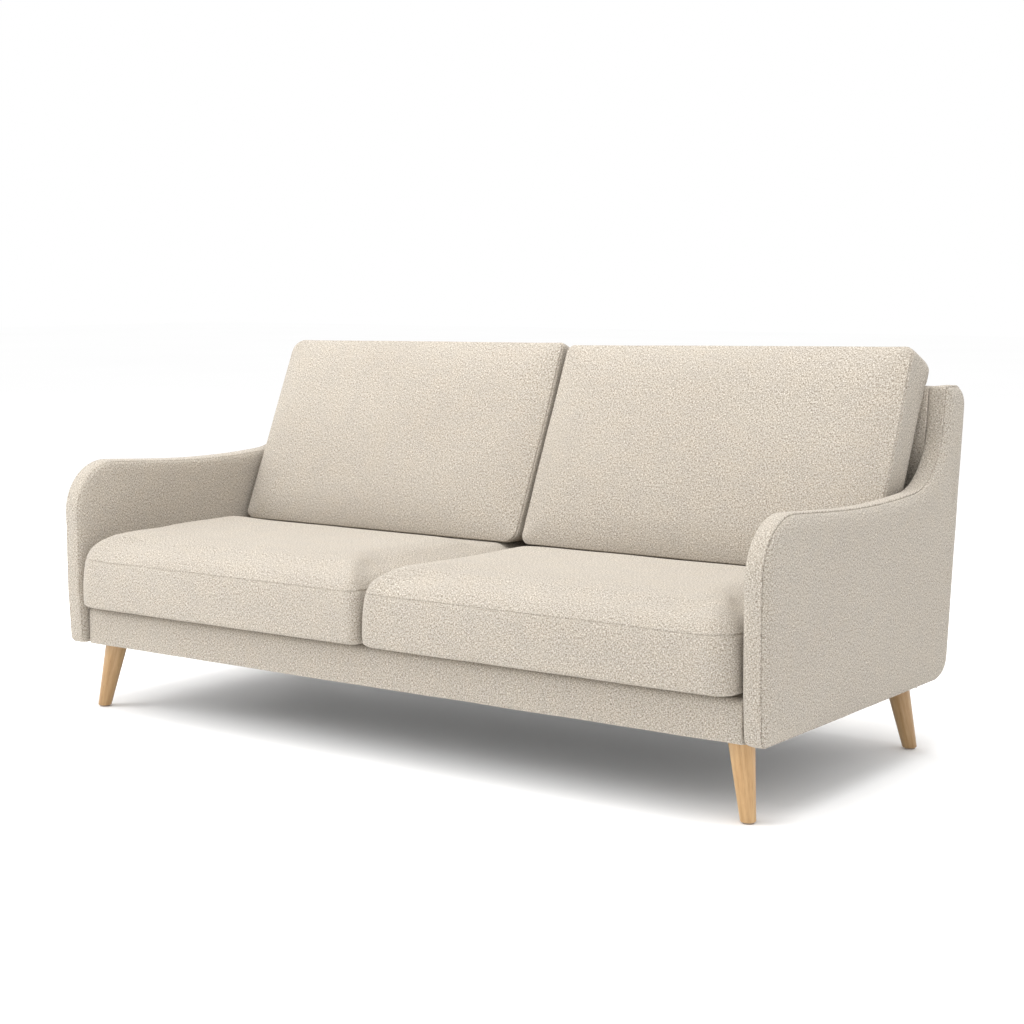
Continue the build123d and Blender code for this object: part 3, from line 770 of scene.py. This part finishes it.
def front_rail():
    lo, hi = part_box("front_rail_cover")
    face, low, high, back = lo.y, lo.z, hi.z, hi.y
    timber_lo, timber_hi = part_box("front_rail")
    rail_front, seat_rest = timber_lo.y, timber_hi.z + 0.001
    clear = rail_front - 0.0006          # just in front of the timber
    corners = [
        (face, low, 0.006), (clear, low, 0.001), (clear, seat_rest, 0.0012),
        (back, seat_rest, 0.001), (back, high, 0.0012), (face, high, 0.016),
    ]
    piece = swept_skin(
        "front_rail_upholstery", corners, 0.008, length_profile(hi.x - 0.0005, 0.0045), along_x,
        cap_step=0.01, seed=11, uneven=0.0009,
    )
    dress(piece, "frame", FABRIC, "upholstery_fabric", "front_rail_cover", "front_rail_pad")
    xs = np.linspace(-hi.x + 0.002, hi.x - 0.002, 160)
    path = [(back - (back - rail_front) * k / 3, low + 0.0002) for k in range(4)]
    tack, length = sheet_grid("front_rail_turn_under", path, xs, -0.0015)
    dress(tack, "frame", FABRIC, "upholstery_fabric")


TOP_BAND = 0.056                     # height of the band above the seam across the outside back


def back_upholstery():
    lo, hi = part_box("inside_back_cover")
    foot, split = lo.z, hi.z - TOP_BAND
    rail_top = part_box("back_top_rail")[1].z
    pad, flap = 0.061, 0.0095            # from the rear face to the pad's rear, and the band's inside
    corners = [
        (back_front(foot), foot, 0.002), (rear(foot) - pad, foot, 0.002),
        (rear(rail_top) - pad, rail_top + 0.001, 0.002),
        (rear(rail_top) - flap, rail_top + 0.001, 0.003),
        (rear(split) - flap, split, 0.0008), (rear(split), split, 0.0008),
        (rear(hi.z), hi.z, 0.044), (back_front(hi.z), hi.z, 0.012),
    ]
    piece = swept_skin(
        "back_upholstery", corners, 0.012, length_profile(hi.x + 0.0050, 0.002), along_x,
        cap_step=0.014, seed=12, uneven=0.0012,
    )
    dress(piece, "frame", FABRIC, "upholstery_fabric", "inside_back_cover", "back_pad", "back_top_pad")


def sheet_grid(name, path, xs, thickness, dent=None):
    """Cloth over a (Y, Z) path, run along X, given a thickness inwards; dent moves its points."""
    path = np.array(path)
    along = np.concatenate([[0], np.cumsum(np.linalg.norm(np.diff(path, axis=0), axis=1))])
    grid = np.array([[(x, y, z) for x in xs] for y, z in path])
    if dent:
        grid = dent(grid)
    across = np.gradient(grid, axis=0)
    side = np.gradient(grid, axis=1)
    normal = np.cross(side, across)
    normal /= np.linalg.norm(normal, axis=2, keepdims=True)
    under = grid - normal * thickness
    rows, cols = grid.shape[:2]
    verts = np.concatenate([grid.reshape(-1, 3), under.reshape(-1, 3)])
    faces, uvs = [], []
    offset = rows * cols

    def uv(r, c):
        return (xs[c], along[r])

    for r in range(rows - 1):
        for c in range(cols - 1):
            quad = [(r, c), (r, c + 1), (r + 1, c + 1), (r + 1, c)]
            faces.append([a * cols + b for a, b in quad])
            uvs += [uv(a, b) for a, b in quad]
            faces.append([offset + a * cols + b for a, b in quad[::-1]])
            uvs += [uv(a, b) for a, b in quad[::-1]]
    rim = [(0, c) for c in range(cols)] + [(r, cols - 1) for r in range(1, rows)]
    rim += [(rows - 1, c) for c in range(cols - 2, -1, -1)] + [(r, 0) for r in range(rows - 2, 0, -1)]
    for (r1, c1), (r2, c2) in zip(rim, rim[1:] + rim[:1]):
        a, b = r1 * cols + c1, r2 * cols + c2
        faces.append([b, a, offset + a, offset + b])
        uvs += [uv(r2, c2), uv(r1, c1), uv(r1, c1), uv(r2, c2)]
    return mesh_object(name, verts, faces, uvs), along[-1]


def outside_back():
    """Cloth stretched down the back of the frame, round the base's rear edge and under it."""
    lo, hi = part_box("outside_back_cover")
    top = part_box("inside_back_cover")[1].z - TOP_BAND - 0.0007
    upper, corner, lower = np.array([(rear(top), top), (REAR_FOOT, lo.z), (lo.y, lo.z)])
    u, v = ((b - a) / np.linalg.norm(b - a) for a, b in ((upper, corner), (corner, lower)))
    turn = math.acos(np.clip(u @ v, -1, 1))
    reach = REAR_CORNER * math.tan(turn / 2)
    start, end = corner - u * reach, corner + v * reach
    centre = start + REAR_CORNER * np.array([u[1], -u[0]])
    path = [upper + (start - upper) * k / 44 for k in range(44)]
    first = math.atan2(*(start - centre)[::-1])
    for a in first - turn * np.arange(12) / 11:
        path.append(centre + REAR_CORNER * np.array([math.cos(a), math.sin(a)]))
    path += [end + (lower - end) * k / 4 for k in range(1, 5)]
    half = hi.x + 0.003                  # into the side panels' rounding, then turned inwards
    turned_in, curl = 0.0035, 0.014      # how far the turned edge draws in, and over what width
    rails_low, rails_high, sag = 0.24, 0.775, 0.0045
    fold = np.array([0.002, 0.005, 0.009, 0.014, 0.020, 0.026])
    xs = np.concatenate([-half - fold[::-1], np.linspace(-half, half, 121), half + fold])
    run = np.gradient(np.array(path), axis=0)
    run /= np.linalg.norm(run, axis=1, keepdims=True)

    def dent(grid):
        """The cloth draws in between the posts and rails, and its side edges turn inwards."""
        x, z = grid[..., 0], grid[..., 2]
        across = np.sin(np.pi * np.clip(np.abs(x) / half, 0, 1)) ** 2
        down = np.sin(np.pi * np.clip((z - rails_low) / (rails_high - rails_low), 0, 1)) ** 0.7
        inward = sag * across * down + 0.0007 * wobble(grid, 0.12, 21) * down
        over = np.clip(np.abs(x) - half, 0, None)
        grid = grid.copy()
        grid[..., 0] = np.sign(x) * (np.minimum(np.abs(x), half) - turned_in * smooth_step(over / curl))
        grid[..., 1] += run[:, 1, None] * over - inward
        grid[..., 2] -= run[:, 0, None] * over
        return grid

    piece, length = sheet_grid("outside_back", path, xs, 0.0014, dent)
    dress(piece, "frame", FABRIC, "upholstery_fabric", "outside_back_cover")


def dust_cover():
    """Thin cloth tacked under the base, sagging a little, with small pulls at its tacks."""
    lo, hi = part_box("dust_cover")
    half, z = hi.x - 0.001, hi.z - 0.0002
    tacks = 2 * np.pi / 0.045
    xs = np.linspace(-half, half, 141)
    ys = np.linspace(lo.y + 0.001, hi.y - 0.001, 61)
    path = [(y, z) for y in ys[::-1]]

    def dent(grid):
        x, y = grid[..., 0], grid[..., 1]
        across = np.sin(np.pi * np.clip(np.abs(x) / half, 0, 1)) ** 2
        along = np.sin(np.pi * (y - ys[0]) / (ys[-1] - ys[0]))
        edge = np.minimum(half - np.abs(x), np.minimum(y - ys[0], ys[-1] - y))
        pull = 0.0005 * np.sin(x * tacks) * np.sin(y * tacks + 1) * np.exp(-edge / 0.03)
        grid = grid.copy()
        grid[..., 2] -= 0.0026 * across * along + pull * (edge > 0.012)
        grid[..., 2] += 0.0005 * wobble(grid, 0.08, 31) * across
        grid[..., 2] = np.minimum(grid[..., 2], z)
        return grid

    piece, length = sheet_grid("dust_cloth", path, xs, -0.0008, dent)
    dress(piece, "frame", DUST, "dust_cloth", "dust_cover")


def deck():
    """Platform cloth over a thin pad, and the felt under it."""
    lo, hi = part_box("deck_pad")
    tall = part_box("deck_cloth")[1].z - lo.z
    corners = [(x, y, 0.012) for x, y in ((-hi.x, lo.y), (hi.x, lo.y), (hi.x, hi.y), (-hi.x, hi.y))]
    profile = [(0.03, 0), (0.01, 0.0002), (0.003, 0.0015), (0.0, 0.0045), (0.0, tall - 0.006),
               (0.003, tall - 0.0018), (0.01, tall - 0.0004), (0.03, tall)]

    def place(a, b, c):
        return a, b, lo.z + c

    piece = swept_skin("seat_platform", corners, 0.02, profile, place, cap_step=0.03, seed=14,
                       uneven=0.0003)
    dress(piece, "frame", PLATFORM, "platform_cloth", "deck_cloth", "deck_pad")
    low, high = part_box("deck_felt")
    xs = np.linspace(low.x + 0.002, high.x - 0.002, 81)
    ys = np.linspace(low.y, high.y - 0.002, 41)
    felt, length = sheet_grid("spring_felt", [(y, high.z - 0.0001) for y in ys], xs, 0.0016)
    dress(felt, "frame", FELT, "felt", "deck_felt")


# ---------------------------------------------------------------- cushions
def split_line(y):
    """X where the two seat cushions meet: the right one pushes the left one over at the front."""
    return -0.017 * smooth_step(1 - (y - FRONT + 0.03) / 0.36)


TOUCH = 0.0012                       # the space left between a cushion and what it rests against


SEAT_PROFILE = [  # inset from the plan outline, height above the underside
    (0.060, 0.0006), (0.045, 0.0002), (0.030, 0.0004), (0.020, 0.0016), (0.0125, 0.0044), (0.0065, 0.0095),
    (0.0025, 0.0165), (0.0, 0.026), (-0.0020, 0.040), (-0.0030, 0.058), (-0.0030, 0.076),
    (-0.0022, 0.094), (-0.0010, 0.110), (0.0004, 0.1220), (0.0024, 0.1320), (0.0056, 0.1415),
    (0.0100, 0.1495), (0.0165, 0.156), (0.0250, 0.1610), (0.0360, 0.1646), (0.049, 0.1670), (0.062, 0.169),
]
SEAT_SEAMS = [(4.6, 0.0013, 0.0004, 1), (13.3, 0.0013, 0.0007, 1)]
SEAT_PRESSED = 0.1655                # height to which a back cushion presses its seat cushion


def seat_cushion(side):
    name = "left" if side < 0 else "right"
    lo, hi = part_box(f"seat_cushion_cover_{name}")
    by_arm, by_split = 0.058, 0.028
    left, right = (by_arm, by_split) if side < 0 else (by_split, by_arm)
    corners = [(lo.x, lo.y, left), (hi.x, lo.y, right), (hi.x, hi.y, 0.040), (lo.x, hi.y, 0.040)]
    middle, half = (lo + hi) / 2, (hi - lo) / 2
    wall = INNER - TOUCH                 # where the arm stops the cushion
    back_foot = FRONT + 0.42             # from here the back cushion presses it down

    def place(a, b, c):
        return a, b, lo.z + c

    def swell(points, rows):
        """The underside and the lower seam hold; the rest swells, the top most of all."""
        pins = np.where(rows <= 5, 1.0, 0.0)
        return pins, np.interp(rows, [5, 8, 13, 18], [0.003, 0.008, 0.012, 0.0235])

    def settle(points):
        u = (points[:, 0] - middle.x) / half.x
        v = (points[:, 1] - middle.y) / half.y
        up = np.clip((points[:, 2] - lo.z) / (hi.z - lo.z), 0, 1.3)
        moved = points.copy()
        belly = np.sin(np.pi * np.clip(up, 0, 1)) * np.clip(1 - np.abs(u) ** 3, 0, 1)
        moved[:, 1] -= 0.003 * belly * np.clip(-v, 0, 1) ** 12
        above = np.clip((up - 0.75) / 0.25, 0, 1)
        moved[:, 2] += 0.0012 * wobble(points, 0.16, 40 + side) * above
        moved[:, 1] += 0.0012 * wobble(points, 0.13, 44 + side) * np.clip(-v, 0, 1) ** 8
        # the arm's side stays full, and the back cushion presses the rear down
        moved[:, 2] += 0.006 * above * smooth_step(side * u * 2.5 - 1.2) * smooth_step((v + 0.85) / 0.6)
        pressed = smooth_step((points[:, 1] - back_foot) / 0.13)
        moved[:, 2] += np.minimum(lo.z + SEAT_PRESSED - moved[:, 2], 0) * pressed
        moved[:, 2] = np.maximum(moved[:, 2], lo.z)
        # the neighbour and the arm limit it at its two sides
        edge = split_line(points[:, 1])
        moved[:, 0] += edge * smooth_step(1 - np.abs(points[:, 0]) / 0.25)
        if side < 0:
            moved[:, 0] = np.clip(moved[:, 0], -wall, edge - 0.0011)
        else:
            moved[:, 0] = np.clip(moved[:, 0], edge + 0.0011, wall)
        return moved

    piece = swept_skin(
        f"seat_cushion_{name}", corners, 0.012, SEAT_PROFILE, place,
        seams=SEAT_SEAMS, cap_step=0.016, seed=50 + side, shape=settle, swell=swell,
        uneven=0.0005, least=CUSHION_CORNER,
    )
    dress(piece, f"seat_cushion_{name}", FABRIC, "upholstery_fabric",
          f"seat_cushion_cover_{name}", f"seat_cushion_foam_{name}")
    return piece


BACK_PROFILE = [  # inset from the outline, distance behind the front plane
    (0.100, -0.0075), (0.083, -0.0066), (0.067, -0.0052), (0.0530, -0.0034), (0.0405, -0.0010),
    (0.0290, 0.0021), (0.0190, 0.0058), (0.0110, 0.0100), (0.0054, 0.0150), (0.0018, 0.0215),
    (0.0004, 0.0310), (0.0, 0.048), (0.0002, 0.070), (0.0008, 0.0880), (0.0022, 0.1000), (0.0048, 0.1075),
    (0.0095, 0.1122), (0.0165, 0.1150), (0.0285, 0.1166), (0.046, 0.1176), (0.060, 0.1180), (0.075, 0.1182),
]
BACK_MIDDLE = 0.058                  # half the back cushion's thickness
BACK_HEIGHT = 0.541
BACK_FOOT = FRONT + 0.560            # Y of its front bottom edge
BACK_SEAMS = [(8.5, 0.0013, 0.0007, -1), (14.2, 0.0014, 0.0004, 1)]
BACK_SPLIT = 0.010                   # how far left of the middle the two back cushions meet
BACK_GAP = 0.0007                    # half the space between them
SEAT_CLEARANCE = 0.0006              # between a back cushion and the seat cushion under it


def back_cushion(side, seat):
    name = "left" if side < 0 else "right"
    lo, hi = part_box(f"back_cushion_cover_{name}")
    foot_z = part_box(f"seat_cushion_cover_{name}")[1].z + 0.001
    left = lo.x - BACK_SPLIT if side > 0 else lo.x
    right = hi.x + 0.0125 if side > 0 else hi.x - BACK_SPLIT
    top_left, top_right = (0.040, 0.014) if side < 0 else (0.024, 0.026)
    corners = [
        (left, 0.0, 0.032), (right, 0.0, 0.032),
        (right, BACK_HEIGHT, top_right), (left, BACK_HEIGHT, top_left),
    ]
    middle_x, half_x = (left + right) / 2, (right - left) / 2
    up = np.array([math.sin(LEAN), math.cos(LEAN)])
    through = np.array([math.cos(LEAN), -math.sin(LEAN)])

    def place(a, b, c):
        b = b + np.clip(1 - b / 0.16, 0, 1) ** 1.5 * c * math.tan(LEAN)
        return a, BACK_FOOT + b * up[0] + c * through[0], foot_z + b * up[1] + c * through[1]

    tree = surface_tree(seat)

    def swell(points, rows):
        """The rear rests on the sofa's back and holds; the front seam gives a little."""
        pins = np.where(rows >= 13, 1.0, 0.0)
        pins[rows == 9] = 0.4
        return pins, np.interp(rows, [0, 5, 8, 13], [0.013, 0.011, 0.006, 0.002])

    def settle(points):
        y, z = points[:, 1] - BACK_FOOT, points[:, 2] - foot_z
        b = y * up[0] + z * up[1]
        c = y * through[0] + z * through[1]
        u = np.clip((points[:, 0] - middle_x) / half_x, -1, 1)
        v = np.clip(b / BACK_HEIGHT * 2 - 1, -1, 1)
        dome = (1 - np.abs(u) ** 2.4) * (1 - np.abs(v) ** 2.2)
        front = np.clip(1 - c / BACK_MIDDLE, 0, 1)
        behind = np.clip(c / BACK_MIDDLE - 1, 0, 1)
        shift = (0.016 * behind - 0.019 * front) * dome
        if side > 0:
            corner = smooth_step(u * 2.2 - 1.0) * smooth_step(v * 2 - 0.8)
            shift += 0.016 * np.clip(behind * 1.4, 0, 1) * corner
        shift += 0.0022 * wobble(points, 0.17, 60 + side) * front * (dome + 0.3)
        moved = points.copy()
        moved[:, 1] += shift * through[0]
        moved[:, 2] += shift * through[1]
        raised = 0.012 + 0.008 * u if side > 0 else 0.0045 + 0.005 * u
        moved[:, 2] += smooth_step(v * 1.4 - 0.4) * raised
        moved[:, 0] = np.clip(moved[:, 0], -INNER + TOUCH, INNER - TOUCH)
        nearest = np.maximum if side > 0 else np.minimum
        moved[:, 0] = nearest(moved[:, 0], side * BACK_GAP - BACK_SPLIT)
        # it rests against the top of the back
        limit = back_front(moved[:, 2]) - TOUCH
        low = moved[:, 2] < BACK_TOP
        moved[:, 1] = np.where(low, np.minimum(moved[:, 1], limit), moved[:, 1])
        # and stands on the seat
        for k in np.nonzero(moved[:, 2] < foot_z + 0.04)[0]:
            hit = tree.ray_cast(Vector((moved[k, 0], moved[k, 1], 1.0)), Vector((0, 0, -1)))[0]
            if hit is not None:
                moved[k, 2] = max(moved[k, 2], hit.z + SEAT_CLEARANCE)
        return moved

    piece = swept_skin(
        f"back_cushion_{name}", corners, 0.012, BACK_PROFILE, place,
        seams=BACK_SEAMS, cap_step=0.016, seed=70 + side, shape=settle, swell=swell,
        uneven=0.0006, least=CUSHION_CORNER,
    )
    dress(piece, f"back_cushion_{name}", FABRIC, "upholstery_fabric",
          f"back_cushion_cover_{name}", f"back_cushion_filling_{name}")
    return piece


# ---------------------------------------------------------------- zips
ZIP_SECTION = [  # distance from the zip's middle, height above the cover
    (-0.0050, 0.0001), (-0.0043, 0.0006), (-0.0024, 0.0007), (-0.0018, 0.0003), (-0.0014, 0.0010),
    (-0.0005, 0.0014), (0.0005, 0.0014), (0.0014, 0.0010), (0.0018, 0.0003), (0.0024, 0.0007),
    (0.0043, 0.0006), (0.0050, 0.0001),
]
TOOTH = 0.003                        # length of a tooth and its gap
TOOTH_DEPTH = 0.0005
TAPE = 0.0006                        # thickness of the tapes
ZIP_METAL = [  # part, length, breadth, distance from the end, (inset, height) rows
    ("slider", 0.011, 0.0085, 0.012, [(0.0012, 0.0006), (0.0002, 0.0012), (0.0, 0.0028), (0.0012, 0.0036)]),
    ("puller", 0.024, 0.0050, 0.0, [(0.0006, 0.0022), (0.0, 0.0027), (0.0, 0.0034), (0.0006, 0.0038)]),
]


def closed_zip(name, node_name, cushion, body, across, out, sink):
    """Two woven tapes and a closed row of teeth along the cushion, with its slider and puller.

    across: the direction over the zip; out: away from the cushion; sink: how deep it is sewn in.
    """
    lo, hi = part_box(node_name)
    across, out = Vector(across), Vector(out)
    centre = (Vector(lo) + Vector(hi)) / 2
    tree = surface_tree(cushion)

    def on_cover(x, offset, lift):
        start = Vector((x, centre.y, centre.z)) + across * offset + out * 0.15
        hit = tree.ray_cast(start, -out)[0]
        return (hit if hit is not None else start - out * 0.15) + out * (lift - sink)

    xs = np.linspace(lo.x, hi.x, int((hi.x - lo.x) / TOOTH) * 2 + 1)
    wide = len(ZIP_SECTION)
    tops, unders = [], []
    for k, x in enumerate(xs):
        for offset, lift in ZIP_SECTION:
            if abs(offset) < 0.0016 and k % 2:
                lift -= TOOTH_DEPTH
            tops.append(on_cover(x, offset, lift))
            unders.append(tops[-1] - out * (lift + TAPE))
    faces = []
    count, half = len(xs), len(tops)
    for k in range(count - 1):
        for r in range(wide - 1):
            a = k * wide + r
            faces.append([a, a + 1, a + wide + 1, a + wide])
            faces.append([half + a + wide, half + a + wide + 1, half + a + 1, half + a])
        for r in (0, wide - 1):
            a, b = k * wide + r, (k + 1) * wide + r
            faces.append([a, b, half + b, half + a] if r == 0 else [b, a, half + a, half + b])
    for k in (0, count - 1):
        for r in range(wide - 1):
            a, b = k * wide + r, k * wide + r + 1
            faces.append([b, a, half + a, half + b] if k == 0 else [a, b, half + b, half + a])
    verts = np.array(tops + unders)
    if closed_volume(verts, faces) < 0:
        faces = [face[::-1] for face in faces]
    dress(mesh_object(name, verts, faces), body, ZIP_TAPE, "zip_tape", node_name)
    for part, length, breadth, start, rows in ZIP_METAL:
        middle_x = hi.x - 0.03 - start
        level = on_cover(middle_x, 0.0, 0.0)
        corners = [
            (a * length / 2, b * breadth / 2, 0.0022) for a, b in ((-1, -1), (1, -1), (1, 1), (-1, 1))
        ]

        def place(a, b, c):
            _, y, z = (level[k] + across[k] * b + out[k] * c for k in range(3))
            return middle_x + a, y, z

        metal_part = swept_skin(f"{name}_{part}", corners, 0.0015, rows, place, cap_step=0.0018, uneven=0)
        dress(metal_part, body, ZINC, "zinc_steel")


# ---------------------------------------------------------------- carried-over parts
LEG_SHADES = ((175, 136, 88), (190, 152, 104), (203, 167, 120))
# painted shade: the legs further under the sofa get darker copies of the leg wood, standing in for the
# shadow they stand in
LEG_PAINTED_SHADE = {"leg_front_left": 0.79, "leg_rear_right": 0.72, "leg_rear_left": 0.85}
LEG_SPLAY = (0.030, 0.021)           # how far a leg leans out over the height UNDER, in X and in Y
CREASE = math.radians(35)            # edges sharper than this stay sharp


def carried_over():
    """Materials for the CAD nodes that stay as they are."""
    timber = linear(176, 136, 92), linear(205, 168, 122), linear(222, 190, 146)
    groups = {
        "timber": wood("timber", (1, 0, 0), *timber, 0.7, 0.35),
        "plywood": plywood(),
        "spring_steel": metal("spring_steel", (0.33, 0.33, 0.34, 1), 0.42),
        "webbing": plain_cloth("webbing", linear(150, 124, 86), linear(196, 172, 130), 0.003, True, 0.0008),
        "glide_plastic": moulded_plastic("glide_plastic", (0.36, 0.30, 0.24, 1)),
        "zinc_steel": ZINC,
    }
    slots = {row["node"]: row["material_slot"] for row in frame["record"]["subparts"]}
    for name, item in frame["nodes"].items():
        material = groups.get(slots[name])
        if slots[name] == "leg_wood":
            lo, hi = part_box(name)
            side = 1 if (lo.x + hi.x) > 0 else -1
            out = 1 if (lo.y + hi.y) > 0 else -1
            axis = (-side * LEG_SPLAY[0], -out * LEG_SPLAY[1], UNDER)
            # painted shade: this leg's wood is darkened for the shadow it stands in
            tone = LEG_PAINTED_SHADE.get(name, 1.0)
            shades = [tuple(c * tone for c in linear(*shade)[:3]) + (1,) for shade in LEG_SHADES]
            material = wood(f"leg_wood_{name}", axis, *shades, 0.42)
        if material is None:
            continue
        item.data.materials.clear()
        item.data.materials.append(material)
        item.data.shade_smooth()
        edges = item.modifiers.new("edges", "EDGE_SPLIT")
        edges.split_angle = CREASE


# ---------------------------------------------------------------- stage, light, camera
def studio():
    """A pale floor, a white world and four soft lamps."""
    scene = bpy.context.scene
    scene.view_settings.view_transform = "Standard"
    size = 30
    floor = mesh_object(
        "floor", [(-size, -size, 0), (size, -size, 0), (size, size, 0), (-size, size, 0)], [[0, 1, 2, 3]]
    )
    material, tree, shader = new_material("floor")
    tone = stretched_noise(tree, object_place(tree), (0.4, 0.4, 0.4))
    tree.links.new(ramp(tree, tone, [(0.3, 0.985), (0.7, 0.995)]), shader.inputs["Base Color"])
    finish_shader(shader, Roughness=1.0, Specular_IOR_Level=0.0)
    floor.data.materials.append(material)
    world = bpy.data.worlds.new("studio")
    scene.world = world
    world.use_nodes = True
    background = world.node_tree.nodes["Background"]
    background.inputs["Color"].default_value = (1, 1, 1, 1)
    background.inputs["Strength"].default_value = 1.0

    def area(name, place, target, size, power):
        light = bpy.data.lights.new(name, "AREA")
        light.shape = "DISK"
        light.size = size
        light.energy = power
        item = bpy.data.objects.new(name, light)
        item.location = place
        item.rotation_euler = (Vector(target) - Vector(place)).to_track_quat("-Z", "Y").to_euler()
        scene.collection.objects.link(item)

    area("overhead", (0.4, -0.5, 4.4), (0.1, -0.1, 0), 4.0, 172)
    area("key", (-3.1, -3.0, 3.1), (0, 0, 0.3), 2.4, 72)
    area("side", (-4.2, -2.2, 1.2), (-0.5, 0, 0.1), 1.6, 30)
    area("rear", (-3.2, 2.9, 0.9), (-0.4, 0, 0.05), 1.4, 45)


def camera():
    """The photograph's viewpoint, from a fit of its straight edges."""
    data = bpy.data.cameras.new("camera")
    data.lens = 69.14
    data.sensor_width = 36
    item = bpy.data.objects.new("camera", data)
    item.location = (2.7851, -3.8036, 1.0927)
    item.rotation_euler = (math.radians(83.123), 0, math.radians(35.618))
    bpy.context.scene.collection.objects.link(item)
    bpy.context.scene.camera = item


camera()
studio()
for which in (-1, 1):
    side_panel(which)
front_rail()
back_upholstery()
outside_back()
dust_cover()
deck()
for which in (-1, 1):
    hand = "left" if which < 0 else "right"
    seat = seat_cushion(which)
    back = back_cushion(which, seat)
    closed_zip(
        f"seat_zip_{hand}", f"seat_cushion_zip_{hand}", seat, f"seat_cushion_{hand}",
        across=(0, 0, 1), out=(0, 1, 0), sink=0.0002,
    )
    closed_zip(
        f"back_zip_{hand}", f"back_cushion_zip_{hand}", back, f"back_cushion_{hand}",
        across=(0, 1, 0), out=(0, 0, -1), sink=0.0011,
    )
carried_over()
